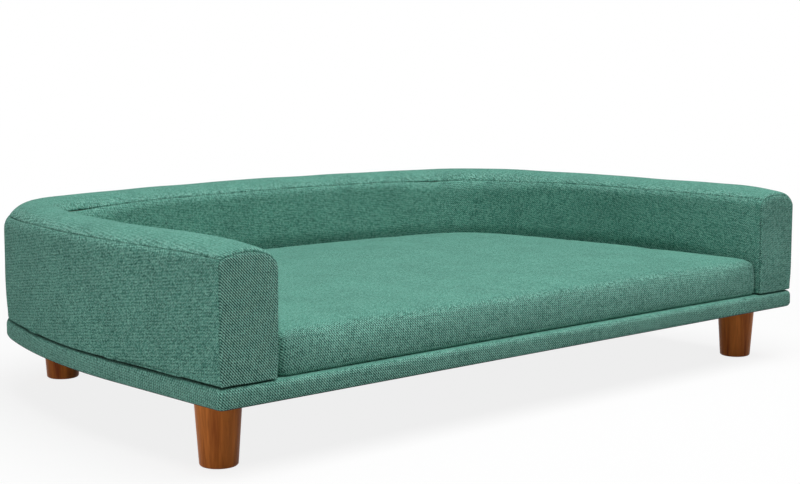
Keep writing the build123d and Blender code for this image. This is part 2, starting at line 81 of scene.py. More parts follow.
# Section of the wall
PADDING = 0.010
EDGE_RADIUS = 0.0125
REAR_EDGE_RADIUS = 0.022
REAR_CORNER_LEAD = 0.15
REAR_CORNER_TRAIL = 0.12
FRONT_CORNERS = {-1: (0.009, 0.020), 1: (0.017, 0.0125)}
FRONT_CORNER_FADE = (0.004, 0.09)
FRONT_CORNER_SEAM = 0.62
FRONT_EDGE_RADIUS = 0.0036
FRONT_TOP_RADIUS = 0.008
FRONT_TOP_TURN = 1.3
FULL_ROLL_RISE = 0.9
STEEPEST_ROLL = 0.82
CROWN = 0.0087
FRONT_CROWN = 0.0038
CROWN_FADE_LENGTH = 0.080
SEAM_ANGLE = math.radians(45)
SEAM_ALLOWANCE = 0.0005
ALLOWANCE_TURN_IN = 0.6
TUCK_RADIUS = 0.0024
TUCK_CLEARANCE = 0.0003
CUSHION_PRESS = 0.0032
PRESS_FADE_HEIGHTS = (0.042, 0.064)
PRESS_FADE_FRONT = (0.05, 0.15)
FABRIC_THICKNESS = 0.0012

# How the cloth lies along its seams, and how dark the painted shade along them is
SEAM_SHADE_REACH = 0.0011
UPRIGHT_SEAM_SHADES = {-1: 0.35, 1: 1.3}
CUSHION_SEAM_SHADE = 0.25
PUCKER_SPACING = 0.0085
PUCKER_REACH = 0.006
SIDE_SWELL_REACH = 0.012
TOP_SWELL_REACH = 0.010
TOP_SEAM_WANDER = 0.045
UPRIGHT_SEAM_WANDER = 0.10

# How clearly the ribs show on each piece
SIDE_RIBS = 0.38
TOP_RIBS = 0.4
END_RIBS = {-1: 1.0, 1: 0.5}
PLATFORM_RIBS = 0.72
CUSHION_RIBS = 0.62

# Weave: the yarns in one repeat and in one dash, their sideways wander, and the ribs' spacing in the noise
TWILL_REPEAT = 4.0
DASH_LENGTH = 7.5
YARN_WANDER = 0.0022
RIBS_APART = 3.71

# Seeds of the uneven fields
TOP_SEAM_SEED = 200
UPRIGHT_SEAM_SEED = 300
PLATFORM_SEED = 71
CUSHION_SEAM_SEED = 91
CUSHION_TOP_SEED = 17

# Platform
BASE_OVERHANG = 0.0012
BASE_TOP_ROUNDING = 0.0075
BASE_FOOT_ROUNDING = 0.0052
BASE_SAG = 0.0012
# Dust cover's turned-up hem: a dark band along the platform's bottom edge, partly the cloth's own edge and
# partly painted shade under that edge
HEM_PROUD = 0.0004
HEM_AND_SHADE_ANGLE = math.radians(55)
BASE_CORNER_RADIUS = 0.0075
BASE_LEAST_CORNER = 0.004
BASE_FLAP = 0.025
BASE_COUNTS = (96, 132)
BASE_COLUMN = 50
DUST_COUNTS = (60, 84)
DUST_COLUMN = 30
DUST_THICKNESS = 0.0004
FLAT_INSETS = [0.060, 0.030, 0.012]

# Legs
LEG_TOP_RADIUS = 0.0256
LEG_FOOT_RADIUS = 0.0205
LEG_FOOT_ROUNDING = 0.003
LEG_SIDE_END = 0.0008
LEG_TOP_EASING = ((0.0004, 0.0002), (0.0012, 0.0))
LEG_COLUMNS = 72

# Cushion
CUSHION_COUNTS = (84, 124)
CUSHION_COLUMN = 60
CUSHION_GAP = 0.0028
CUSHION_SHIFT = 0.0018
CUSHION_SETBACK = 0.0038
CUSHION_CORNER = (0.011, 0.005)
CUSHION_EDGE_HEIGHT = 0.048
CUSHION_EDGE_ROUNDING = 0.012
CUSHION_FRONT_ROUNDING = 0.021
CUSHION_BULGE = 0.0012
CUSHION_FOOT = 0.005
CUSHION_FRONT_DRAW = 0.0025
CROWN_POWER = 2.6
CROWN_BEFORE_CLOTH = 0.55
CLOTH_LEVELS = (0, 2, 4, 8, 11, 16, 18, 20, -6, -3, -1)
CLOTH_INWARD_CAP = 0.001
CLOTH_HELD_HEIGHTS = (0.004, 0.02)
TOP_SEAM_DROP = 0.009
ZIP_LENGTH = 0.520
ZIP_SLOT_HEIGHT = 0.013
ZIP_RECESS = 0.0030
SLOT_TOLERANCE = 0.0001
SLOT_SHARE = 0.995
SLIDER_LENGTH = 0.011
TOOTH_PITCH = 0.0020
TOOTH_DEPTHS = (0.0014, 0.0024)
TOOTH_HEIGHTS = (0.00085, 0.0028)

# Camera, as found by fitting the photograph
CAMERA_PLACE = (-1.42867, -1.60771, 0.43716)
CAMERA_YAW = 0.7411
CAMERA_PITCH = 0.1218
CAMERA_LENS = 73.35
SENSOR_WIDTH = 36.0

# Floor
FLOOR_REACH = 14.0
FLOOR_FADE = (0.7, 1.5)

# Least length that a direction is divided by
TINY = 1e-9


class Route:
    """A plan line of straight runs and tangent arcs, with headings counted clockwise from +Y.

    Along an arc of curvature k the heading grows by k times the distance, so the line moves by
    (cos h - cos(h + kd)) / k to the right and (sin(h + kd) - sin h) / k ahead.
    """

    def __init__(self, start, stretches):
        self.lengths, self.curvatures = np.array(stretches, float).T
        self.starts = np.concatenate([[0], np.cumsum(self.lengths)[:-1]])
        self.length = float(self.lengths.sum())
        turns = self.lengths * self.curvatures
        self.headings = np.concatenate([[0], np.cumsum(turns)[:-1]])
        points = [np.array(start, float)]
        for heading, curvature, length in zip(self.headings, self.curvatures, self.lengths):
            points.append(points[-1] + np.array(self.moved(heading, curvature, length)))
        self.points = np.array(points[:-1])

    @staticmethod
    def moved(heading, curvature, distance):
        """How far a distance leads to the right and ahead, along an arc or straight on."""
        bent = np.abs(curvature) > 0
        safe = np.where(bent, curvature, 1)
        after = heading + curvature * distance
        right = np.where(bent, (np.cos(heading) - np.cos(after)) / safe, distance * np.sin(heading))
        ahead = np.where(bent, (np.sin(after) - np.sin(heading)) / safe, distance * np.cos(heading))
        return right, ahead

    def at(self, distance):
        """X, Y and heading at distances along the line."""
        last = len(self.starts) - 1
        index = np.clip(np.searchsorted(self.starts, distance, side="right") - 1, 0, last)
        passed = distance - self.starts[index]
        heading = self.headings[index]
        curvature = self.curvatures[index]
        right, ahead = self.moved(heading, curvature, passed)
        return self.points[index, 0] + right, self.points[index, 1] + ahead, heading + curvature * passed


def plan_stretches(inset):
    """The outer face drawn in by an inset: its straights' length, and each arc's length and curvature."""
    corner_turn = math.pi / 2 - SIDE_ARC_TURN - BACK_ARC_TURN
    side_reach = SIDE_ARC_RADIUS * (1 - math.cos(SIDE_ARC_TURN))
    corner_reach = REAR_CORNER_RADIUS * (math.cos(SIDE_ARC_TURN) - math.sin(BACK_ARC_TURN))
    back_radius = (WALL_HALF_WIDTH - side_reach - corner_reach) / math.sin(BACK_ARC_TURN)
    straight = (
        -2 * WALL_FRONT
        - SIDE_ARC_RADIUS * math.sin(SIDE_ARC_TURN)
        - REAR_CORNER_RADIUS * (math.cos(BACK_ARC_TURN) - math.sin(SIDE_ARC_TURN))
        - back_radius * (1 - math.cos(BACK_ARC_TURN))
    )
    arcs = []
    radii = (SIDE_ARC_RADIUS, REAR_CORNER_RADIUS, back_radius, REAR_CORNER_RADIUS, SIDE_ARC_RADIUS)
    turns = (SIDE_ARC_TURN, corner_turn, 2 * BACK_ARC_TURN, corner_turn, SIDE_ARC_TURN)
    for radius, turn in zip(radii, turns):
        arcs.append(((radius - inset) * turn, 1 / (radius - inset)))
    return straight, arcs


def wall_route():
    """The wall's middle line, from the left arm's front round the back to the right arm's front."""
    inset = WALL_THICKNESS / 2
    straight, arcs = plan_stretches(inset)
    return Route((inset - WALL_HALF_WIDTH, WALL_FRONT), [(straight, 0), *arcs, (straight, 0)])


def closed_outline(inset, front_inset, corner):
    """A closed plan inside the outer face, clockwise from the left side's front end.

    A corner is one radius, or one for the left and one for the right.
    """
    straight, arcs = plan_stretches(inset)
    left, right = np.broadcast_to(corner, 2).tolist()
    side = straight - front_inset
    width = 2 * (WALL_HALF_WIDTH - inset) - left - right
    start = (inset - WALL_HALF_WIDTH, WALL_FRONT + front_inset + left)
    return Route(start, [(side - left, 0), *arcs, (side - right, 0), (right * math.pi / 2, 1 / right),
                         (width, 0), (left * math.pi / 2, 1 / left)])


WALL = wall_route()
HALF_THICKNESS = WALL_THICKNESS / 2


def graded(length, fine, coarse, growth=1.4, first=True, last=True):
    """Places from 0 to length, with steps that grow from fine at the chosen ends to coarse between them."""
    count = max(int(math.log(coarse / fine) / math.log(growth)), 0) + 1
    near = np.concatenate([[0], np.cumsum(fine * growth ** np.arange(count))])
    near = near[near < length / 2.2]
    head = near if first else near[:1]
    tail = length - (near if last else near[:1])[::-1]
    gap = tail[0] - head[-1]
    middle = np.linspace(head[-1], tail[0], max(math.ceil(gap / coarse), 1) + 1)
    return np.concatenate([head[:-1], middle, tail[1:]])


def soft_noise(across, along, wavelength, seed, terms=9):
    """A smooth uneven field: a sum of plane waves with seeded directions, lengths and phases."""
    random = np.random.default_rng(seed)
    field = 0
    for _ in range(terms):
        angle, phase = random.uniform(0, 2 * math.pi, 2)
        length = wavelength * random.uniform(0.7, 1.7)
        travel = across * math.cos(angle) + along * math.sin(angle)
        field = field + np.sin(2 * math.pi * travel / length + phase)
    return field / math.sqrt(terms)


def seam_dip(distance, depth, reach):
    """How far cloth dips at a seam: a quarter round, depth at the seam and nothing past the reach."""
    near = 1 - np.clip(distance / reach, 0, 1)
    return depth * (1 - np.sqrt(1 - near**2))


def puckers(distance, along, depth, seed):
    """Small gathers that run away from a seam: waves along it that die out in a few millimetres."""
    shift = 2.2 * soft_noise(along, 0 * along, wavelength=0.05, seed=seed)
    wave = np.sin(2 * math.pi * along / PUCKER_SPACING + shift)
    strength = 0.6 + 0.4 * soft_noise(along, 0 * along, wavelength=0.09, seed=seed + 1)
    return depth * wave * strength * np.exp(-distance / PUCKER_REACH)


def smooth_step(value, low, high):
    """0 up to low, 1 from high on, and level at both ends of the rise between them."""
    share = np.clip((value - low) / (high - low), 0, 1)
    return share * share * (3 - 2 * share)


def grid_quads(rows, columns, wrap=False):
    """Corner numbers of a grid's quads, and the same with a wrapped grid's last column kept apart."""
    row = np.arange(rows - 1)[:, None]
    column = np.arange(columns if wrap else columns - 1)[None, :]
    after = (column + 1) % columns
    wide = columns + 1 if wrap else columns

    def corners(width, following):
        low, high = row * width, (row + 1) * width
        return np.stack([low + column, low + following, high + following, high + column], -1).reshape(-1, 4)

    return corners(columns, after), corners(wide, column + 1)


def mesh_object(name, points, faces, corner_uvs, seam=None, ribs=None):
    """A smooth-shaded mesh object from arrays of points, quads and the UVs at each quad's corners.

    Cloth also carries how dark the painted shade of its seams is at each point, and how clearly its ribs
    show.
    """
    mesh = bpy.data.meshes.new(name)
    mesh.vertices.add(len(points))
    mesh.vertices.foreach_set("co", np.ascontiguousarray(points, np.float32).ravel())
    count = len(faces)
    mesh.loops.add(4 * count)
    mesh.loops.foreach_set("vertex_index", np.ascontiguousarray(faces, np.int32).ravel())
    mesh.polygons.add(count)
    mesh.polygons.foreach_set("loop_start", np.arange(0, 4 * count, 4, dtype=np.int32))
    mesh.update(calc_edges=True)
    mesh.polygons.foreach_set("use_smooth", np.ones(count, bool))
    layer = mesh.uv_layers.new(name="cloth")
    layer.data.foreach_set("uv", np.ascontiguousarray(corner_uvs, np.float32).ravel())
    if seam is not None:
        shade = mesh.attributes.new("seam_shade", "FLOAT", "POINT")
        shade.data.foreach_set("value", np.ascontiguousarray(seam, np.float32).ravel())
        clear = mesh.attributes.new("rib_strength", "FLOAT", "POINT")
        clear.data.foreach_set("value", np.full(len(points), ribs, np.float32))
    mesh.validate()
    piece = bpy.data.objects.new(name, mesh)
    bpy.context.scene.collection.objects.link(piece)
    return piece


def facing(points, faces, outward):
    """Whether the faces, as a whole, look along the outward directions given at the points."""
    a, b, c = (points[faces[:, k]] for k in range(3))
    normal = np.cross(b - a, c - a)
    agree = np.sum(normal * outward[faces[:, 0]])
    return agree >= 0


def panel_object(name, points, outward, uvs, seam, ribs):
    """A fabric panel from a grid: a sheet of the fabric's thickness that grows inwards from its face."""
    points, outward, uvs, seam = with_allowance(points, outward, uvs, seam)
    rows, columns = points.shape[:2]
    faces, _ = grid_quads(rows, columns)
    flat = points.reshape(-1, 3)
    if not facing(flat, faces, outward.reshape(-1, 3)):
        faces = faces[:, ::-1]
    piece = mesh_object(name, flat, faces, uvs.reshape(-1, 2)[faces], seam.reshape(-1), ribs)
    thicken(piece)
    return piece


def with_allowance(points, outward, uvs, seam):
    """The panel's grids with a seam allowance: one more row past each edge, turned in under its neighbour."""
    for axis in (0, 1):
        grids = []
        for end, before in (([0], [1]), ([-1], [-2])):
            edge = np.take(points, end, axis)
            step = edge - np.take(points, before, axis)
            step = step / np.maximum(np.linalg.norm(step, axis=-1, keepdims=True), TINY)
            turned_in = ALLOWANCE_TURN_IN * SEAM_ALLOWANCE * np.take(outward, end, axis)
            grids.append(edge + SEAM_ALLOWANCE * step - turned_in)
        points = np.concatenate([grids[0], points, grids[1]], axis)
        outward, uvs, seam = (
            np.concatenate([np.take(grid, [0], axis), grid, np.take(grid, [-1], axis)], axis)
            for grid in (outward, uvs, seam))
    return points, outward, uvs, seam


def thicken(piece, thickness=FABRIC_THICKNESS):
    """Give a sheet its thickness, inwards from its face."""
    solid = piece.modifiers.new("fabric_thickness", "SOLIDIFY")
    solid.thickness = thickness
    solid.offset = -1
    solid.use_rim = True


def finish_piece(piece, body, slot, *replaced):
    """Give a piece its slot's material, its body and the nodes that it stands for."""
    piece.data.materials.clear()
    piece.data.materials.append(look(slot))
    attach(piece, body)
    if replaced:
        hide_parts(*replaced)


def run_columns(step):
    """Places along a wall panel that also rolls round both arm fronts, counted from seam to seam.

    Near a front the panel turns by an angle round the front's edge radius, and the rest of it follows the
    wall's middle line. Gives each column's place, its distance from the nearer seam, the angle, and the sign
    that points out of the nearer front.
    """
    roll = FRONT_EDGE_RADIUS * SEAM_ANGLE
    length = WALL.length - 2 * FRONT_EDGE_RADIUS + 2 * roll
    place = graded(length, fine=0.0003, coarse=step)
    near = np.minimum(place, length - place)
    angle = np.clip((roll - near) / FRONT_EDGE_RADIUS, 0, None)
    return place, near, angle, np.where(place < length / 2, -1.0, 1.0)


def rolled(near, angle, front, rise):
    """The front's roll where the section's normal rises by a given share: 0 on its uprights, 1 on top.

    Gives the distance along the middle line, how far the section is drawn in, the turned angle, and the
    distance from the seam. The roll's radius and the seam's angle both grow with the rise.
    """
    radius = front_roll(rise)
    turn = front_seam_turn(rise)
    past = np.clip(near - FRONT_EDGE_RADIUS * SEAM_ANGLE, 0, None)
    level = (FRONT_EDGE_RADIUS - radius) * smooth_step(past, 0, 0.05)
    setback = radius * (1 - np.sin(angle * turn)) + past + level
    gap = near + (radius * turn / FRONT_EDGE_RADIUS - 1) * np.minimum(near, FRONT_EDGE_RADIUS * SEAM_ANGLE)
    distance = np.where(front < 0, setback, WALL.length - setback)
    return distance, radius * (1 - np.cos(angle * turn)), angle * turn, gap


def front_roll(rise):
    """Radius of the front's roll for the rise of the section's normal."""
    return FRONT_EDGE_RADIUS + (FRONT_TOP_RADIUS - FRONT_EDGE_RADIUS) * smooth_step(rise, 0, FULL_ROLL_RISE)


def front_seam_turn(rise):
    """A factor on the front seam's angle for the rise of the section's normal."""
    return 1 + (FRONT_TOP_TURN - 1) * smooth_step(rise, 0, FULL_ROLL_RISE)


def top_seam_lean(place, near, front, side):
    """How a top seam wanders, as a factor on its angle; the left arm's outer one sinks towards the front."""
    wander = soft_noise(place, 0 * place, wavelength=0.11, seed=TOP_SEAM_SEED + side)
    sunk = (1 - FRONT_CORNER_SEAM) * (1 - smooth_step(near, 0, 0.06)) * ((front < 0) & (side > 0))
    return 1 + TOP_SEAM_WANDER * wander * smooth_step(near, 0, 0.05) - sunk


def end_seam_lean(height, side):
    """How an arm front's upright seam wanders, as a factor on its angle: 1 at the top."""
    wander = soft_noise(height, 0 * height, wavelength=0.06, seed=UPRIGHT_SEAM_SEED + side)
    return 1 + UPRIGHT_SEAM_WANDER * wander * smooth_step(FRAME_TOP - 0.010 - height, 0, 0.03)


def corner_radius(near, front, side):
    """Radius of a top edge, the outer one for side 1 and the inner one for side -1.

    Each arm's front has its own, and the rear corners' is larger than the rest's.
    """
    left, right = (FRONT_CORNERS[arm][0 if side > 0 else 1] for arm in (-1, 1))
    at_front = np.where(front < 0, left, right)
    rear = smooth_step(near, WALL.starts[2] - REAR_CORNER_LEAD, WALL.starts[2])
    rear = rear * (1 - smooth_step(near, WALL.starts[3], WALL.starts[3] + REAR_CORNER_TRAIL))
    middle = EDGE_RADIUS + (REAR_EDGE_RADIUS - EDGE_RADIUS) * rear
    return at_front + (middle - at_front) * smooth_step(near, *FRONT_CORNER_FADE)


def on_wall(distance, sideways, height, tangent_shift=0.0):
    """Points at distances along the middle line, sideways of it (positive outwards) and at heights.

    A tangent shift moves them straight on, along the line's heading.
    """
    x, y, heading = WALL.at(distance)
    x = x - sideways * np.cos(heading) + tangent_shift * np.sin(heading)
    y = y + sideways * np.sin(heading) + tangent_shift * np.cos(heading)
    return np.stack(np.broadcast_arrays(x, y, height), -1)


def wall_directions(distance, sideways, forward, up):
    """Directions given by their outward, travel and upward parts."""
    heading = WALL.at(distance)[2]
    x = -sideways * np.cos(heading) + forward * np.sin(heading)
    y = sideways * np.sin(heading) + forward * np.cos(heading)
    return np.stack(np.broadcast_arrays(x, y, up), -1)


def running_length(line):
    """The length passed at each point of a line."""
    return np.concatenate([[0], np.cumsum(np.linalg.norm(np.diff(line, axis=0), axis=-1))])


def side_panel(name, side, shape, seed):
    """The outer (side 1) or inner (side -1) wall panel.

    Its section is a quarter round tucked under at the platform, an upright, and the top edge's arc as far
    as the seam. Round each arm front the section is drawn in and set back on the front's edge radius. The
    cushion presses the inner panel in below its top.
    """
    place, near, angle, front = run_columns(shape.cloth_step)
    tuck_length = TUCK_RADIUS * math.pi / 2
    bottom = BASE_TOP + TUCK_CLEARANCE
    radius = corner_radius(near, front, side)
    upright = FRAME_TOP + PADDING - radius - bottom - TUCK_RADIUS
    total = tuck_length + upright + radius * SEAM_ANGLE
    share = graded(1.0, fine=0.003, coarse=0.035, first=False)[1:, None]
    row = np.concatenate([np.linspace(0, tuck_length, 7)[:, None] + 0 * near,
                          tuck_length + share * (total - tuck_length)])
    tuck = np.clip((tuck_length - row) / TUCK_RADIUS, 0, None)
    angle = angle * end_seam_lean(bottom + row, side)
    bend = np.clip((row - tuck_length - upright) / radius, 0, None) * top_seam_lean(place, near, front, side)
    distance, drawn_in, angle, end_gap = rolled(near, angle, front, np.sin(bend))
    hidden = TUCK_RADIUS * (1 - np.cos(tuck))
    rise = np.clip(row - tuck_length, 0, upright)
    height = bottom + TUCK_RADIUS * (1 - np.sin(tuck)) + rise + radius * np.sin(bend)
    across = HALF_THICKNESS - hidden - radius * (1 - np.cos(bend))
    across = across - drawn_in * (1 - hidden / FRONT_EDGE_RADIUS) * np.cos(bend)
    height = height - drawn_in * np.sin(bend)
    shift = -front * hidden * np.sin(angle)
    normal_side = side * np.cos(tuck) * np.cos(bend) * np.cos(angle)
    normal_front = front * np.cos(tuck) * np.sin(angle)
    normal_up = np.sin(bend) * np.cos(angle) - np.sin(tuck)
    outward = wall_directions(distance, normal_side, normal_front, normal_up)
    points = on_wall(distance, side * across, height, shift)
    top_gap = total - row
    seam_gap = np.minimum(top_gap, end_gap)
    waist = shape.draw_in * (1 - smooth_step(height - bottom, 0, shape.draw_in_height))
    if side < 0:
        below_seat = 1 - smooth_step(height - bottom, *PRESS_FADE_HEIGHTS)
        waist = waist + CUSHION_PRESS * below_seat * smooth_step(near, *PRESS_FADE_FRONT)
    body = 1 - np.exp(-seam_gap / SIDE_SWELL_REACH)
    swell = shape.puff * body * smooth_step(row, 0, 0.03)
    waves = soft_noise(place + 0 * row, row + 0 * place, wavelength=0.15, seed=seed)
    uneven = shape.unevenness * body * waves
    gathers = puckers(top_gap, place + 0 * row, shape.pucker, seed + 3)
    gathers = gathers + puckers(end_gap, row, shape.pucker, seed + 5)
    moved = swell + uneven + gathers - waist - seam_dip(seam_gap, shape.seam_depth, shape.seam_reach)
    points = points + outward * moved[..., None]
    run = running_length(points[points.shape[0] // 2])
    uvs = np.stack(np.broadcast_arrays(row + 0 * run, -run + 0 * row), -1)
    # Painted shade along the top seam and the arm front's upright seam
    upright_shade = np.where(front < 0, UPRIGHT_SEAM_SHADES[-1], UPRIGHT_SEAM_SHADES[1])
    shade = np.maximum(seam_shade(top_gap), upright_shade * seam_shade(end_gap))
    return panel_object(name, points, outward, uvs, shade, SIDE_RIBS)


def seam_shade(gap):
    """How dark the painted shade in a seam's crease is: 1 on the seam, gone in about a millimetre."""
    return np.exp(-((gap / SEAM_SHADE_REACH) ** 2))


def crown_profile(crown, sizes, share, leans):
    """Section over the wall's top, from the outer seam (share 0) to the inner seam (share 1).

    Gives the places across, the heights, the normals' angles and the distances from the nearer seam.
    Each half is a corner arc and a crown arc tangent to it, level at the middle. The crown's centre lies a
    drop below the corner's, where drop = (a^2 - c^2) / 2c for the half width a and the crown's rise c.
    """
    halves = []
    for size in sizes:
        half = HALF_THICKNESS - size
        drop = (half**2 - crown**2) / (2 * crown)
        meet = np.arctan2(drop, half)
        radius = size + np.hypot(half, drop)
        corner = size * (meet - SEAM_ANGLE)
        halves.append((size, half, drop, meet, radius, corner, corner + radius * (math.pi / 2 - meet)))
    total = halves[0][-1] + halves[1][-1]
    run = share * total
    outer = run <= halves[0][-1]
    size, half, drop, meet, radius, corner, _ = (np.where(outer, one, other) for one, other in zip(*halves))
    mirrored = np.where(outer, run, total - run)
    over_corner = mirrored < corner
    shoulder = FRAME_TOP + PADDING - size
    seam = SEAM_ANGLE * np.where(outer, *leans)
    turned = np.where(over_corner, seam + (meet - seam) * mirrored / corner,
                      meet + (mirrored - corner) / radius)
    across = np.where(over_corner, half + size * np.cos(turned), radius * np.cos(turned))
    high = shoulder + np.where(over_corner, size * np.sin(turned), radius * np.sin(turned) - drop)
    sign = np.where(outer, 1.0, -1.0)
    return sign * across, high, np.where(outer, turned, math.pi - turned), mirrored


def front_fade(near):
    """The crown's rise near an arm's front: a quarter sine from the front's to the full one."""
    share = np.clip(near / CROWN_FADE_LENGTH, 0, 1)
    return FRONT_CROWN + (CROWN - FRONT_CROWN) * np.sin(math.pi * share / 2)


def top_panel(name, shape, seed):
    """The top panel, crowned across and lower at the fronts, where it rolls down to the end panels."""
    place, near, angle, front = run_columns(shape.cloth_step)
    share = graded(1.0, fine=0.006, coarse=0.055)[:, None]
    leans = [top_seam_lean(place, near, front, side) for side in (1, -1)]
    sizes = [corner_radius(near, front, side) for side in (1, -1)]
    across, height, turned, side_gap = crown_profile(front_fade(near), sizes, share, leans)
    distance, drawn_in, angle, end_gap = rolled(near, angle, front, np.sin(turned))
    across = across - drawn_in * np.cos(turned)
    height = height - drawn_in * np.sin(turned)
    outward = wall_directions(
        distance, np.cos(turned) * np.cos(angle), front * np.sin(angle), np.sin(turned) * np.cos(angle)
    )
    points = on_wall(distance, across, height)
    seam_gap = np.minimum(side_gap, end_gap)
    body = 1 - np.exp(-seam_gap / TOP_SWELL_REACH)
    swell = shape.puff * body
    uneven = shape.unevenness * body * soft_noise(place + 0 * share, across, wavelength=0.12, seed=seed)
    gathers = puckers(side_gap, place + 0 * share, shape.pucker, seed + 3)
    gathers = gathers + puckers(end_gap, across, shape.pucker, seed + 5)
    moved = swell + uneven + gathers - seam_dip(seam_gap, shape.seam_depth, shape.seam_reach)
    points = points + outward * moved[..., None]
    # Painted shade along the top panel's seams
    return panel_object(name, points, outward, points[..., :2], seam_shade(seam_gap), TOP_RIBS)


def end_panel(name, side, shape, seed):
    """An arm's front panel (side -1 left, 1 right): flat, and rolled back at its sides and top to the seams.

    A point's depth inside the arm's outline gives its roll angle, as radius times (1 - cos angle), and the
    roll sets it back by radius times (1 - sin angle). The rows run from the platform to the top seam, and
    each side has its own corner, between the upright and the crown's arc.
    """
    across = graded(2.0, fine=0.012, coarse=0.10) - 1
    up = graded(1.0, fine=0.003, coarse=0.045)[:, None]
    bottom = BASE_TOP + TUCK_CLEARANCE
    size = np.where(across * side > 0, *FRONT_CORNERS[side])
    half = HALF_THICKNESS - size
    shoulder = FRAME_TOP + PADDING - size
    drop = (half**2 - FRONT_CROWN**2) / (2 * FRONT_CROWN)
    crown_radius = size + np.hypot(half, drop)
    meet = np.arctan2(drop, half)
    run = (1 - np.abs(across)) * (size * meet + crown_radius * (math.pi / 2 - meet))
    over_corner = run < size * meet
    turned = np.where(over_corner, run / size, meet + (run - size * meet) / crown_radius)
    rise = np.sin(turned)
    roll_in = front_roll(rise) * (1 - np.cos(SEAM_ANGLE * front_seam_turn(rise)))
    top_across = np.where(over_corner, half + size * np.cos(turned), crown_radius * np.cos(turned))
    top_across = (top_across - roll_in * np.cos(turned)) * np.where(across >= 0, 1, -1)
    top_height = np.where(over_corner, size * rise, crown_radius * rise - drop) + shoulder - roll_in * rise
    height = bottom + up * (top_height - bottom)
    low = np.clip(1 - (height - bottom) / TUCK_RADIUS, 0, 1)
    hidden = TUCK_RADIUS * (1 - np.sqrt(1 - low**2))
    reach = FRONT_EDGE_RADIUS - hidden
    outer_half, inner_half = (
        HALF_THICKNESS - FRONT_EDGE_RADIUS + reach * np.cos(SEAM_ANGLE * end_seam_lean(height, panel))
        for panel in (1, -1)
    )
    widest = HALF_THICKNESS - FRONT_EDGE_RADIUS * (1 - math.cos(SEAM_ANGLE))
    spread = across * widest * (1 - up) + top_across * up
    sideways = spread * np.where(across * side > 0, outer_half, inner_half) / widest
    aside = np.abs(sideways)
    above = height - shoulder
    bearing = np.arctan2(above + drop, aside)
    corner_reach = np.hypot(np.clip(aside - half, 0, None), np.clip(above, 0, None))
    inside = np.where(bearing > meet, crown_radius - np.hypot(aside, above + drop), size - corner_reach)
    corner_rise = np.clip(above, 0, None) / np.maximum(corner_reach, TINY)
    roll = front_roll(np.where(bearing > meet, np.sin(bearing), np.minimum(corner_rise, 1)))
    top_cosine = np.clip(1 - inside / roll, 0, STEEPEST_ROLL)
    side_cosine = np.clip((aside - HALF_THICKNESS + FRONT_EDGE_RADIUS) / reach, 0, STEEPEST_ROLL)
    side_sine = np.sqrt(1 - side_cosine**2)
    setback = np.maximum(roll * (1 - np.sqrt(1 - top_cosine**2)),
                         FRONT_EDGE_RADIUS * (1 - side_sine) + hidden * side_sine)
    middle = side * (WALL_HALF_WIDTH - HALF_THICKNESS)
    points = np.stack([middle + sideways, WALL_FRONT + setback, height + 0 * sideways], -1)
    along_row = np.gradient(points, axis=1)
    along_column = np.gradient(points, axis=0)
    outward = np.cross(along_row, along_column)
    outward = outward / np.linalg.norm(outward, axis=-1, keepdims=True)
    side_gap = (1 - np.abs(across)) * widest * 1.03 + 0 * up
    top_gap = (1 - up) * (top_height - bottom)
    seam_gap = np.minimum(side_gap, top_gap)
    body = 1 - np.exp(-seam_gap / SIDE_SWELL_REACH)
    low_share = smooth_step(height - bottom, 0, 0.03)
    moved = shape.puff * body * low_share - shape.draw_in * 0.5 * (1 - low_share)
    moved = moved + shape.unevenness * body * soft_noise(sideways, height, wavelength=0.09, seed=seed)
    moved = moved + puckers(side_gap, height + 0 * side_gap, shape.pucker, seed + 3)
    moved = moved + puckers(top_gap, sideways, shape.pucker, seed + 5)
    moved = moved - seam_dip(seam_gap, shape.seam_depth, shape.seam_reach)
    points = points + outward * moved[..., None]
    uvs = np.stack([points[..., 0], points[..., 2]], -1)
    # Painted shade along the end panel's top seam and upright seams
    shade = np.maximum(seam_shade(top_gap + 0 * side_gap), UPRIGHT_SEAM_SHADES[side] * seam_shade(side_gap))
    return panel_object(name, points, outward, uvs, shade, END_RIBS[side])


def loop_places(outline, corner, lengthwise, crosswise):
    """Distances round a closed outline, from the front left corner's middle, with even counts on each side.

    Each side runs between the middles of two corner arcs, and its points draw together towards its ends.
    """
    ends = outline.starts + outline.lengths
    left, right = np.broadcast_to(corner, 2) * math.pi / 4
    anchors = (
        -left,
        outline.starts[2] + outline.lengths[2] / 2,
        outline.starts[4] + outline.lengths[4] / 2,
        ends[6] + right,
        outline.length - left,
    )
    places = []
    for (start, end), count in zip(zip(anchors, anchors[1:]), (lengthwise, crosswise) * 2):
        step = np.arange(count) / count
        share = 0.5 * step + 0.25 * (1 - np.cos(math.pi * step))
        places.append(start + (end - start) * share)
    return np.concatenate(places) % outline.length


def ring(inset, front_inset, corner, height, counts):
    """One level of a closed form: the points round an outline, and their outward directions in plan."""
    outline = closed_outline(inset, front_inset, corner)
    x, y, heading = outline.at(loop_places(outline, corner, *counts))
    points = np.stack(np.broadcast_arrays(x, y, height), -1)
    return points, np.stack([-np.cos(heading), np.sin(heading), 0 * heading], -1)


def patch_numbers(ring_start, extra_start, lengthwise, crosswise):
    """Vertex numbers of the grid that fills a ring, from front left to back right."""
    numbers = np.zeros((lengthwise + 1, crosswise + 1), int)
    total = 2 * (lengthwise + crosswise)
    along = np.arange(lengthwise + 1)
    over = np.arange(crosswise + 1)
    numbers[:, 0] = ring_start + along
    numbers[-1, :] = ring_start + lengthwise + over
    numbers[:, -1] = ring_start + 2 * lengthwise + crosswise - along
    numbers[0, :] = ring_start + (total - over) % total
    inner = (lengthwise - 1) * (crosswise - 1)
    numbers[1:-1, 1:-1] = extra_start + np.arange(inner).reshape(lengthwise - 1, crosswise - 1)
    return numbers


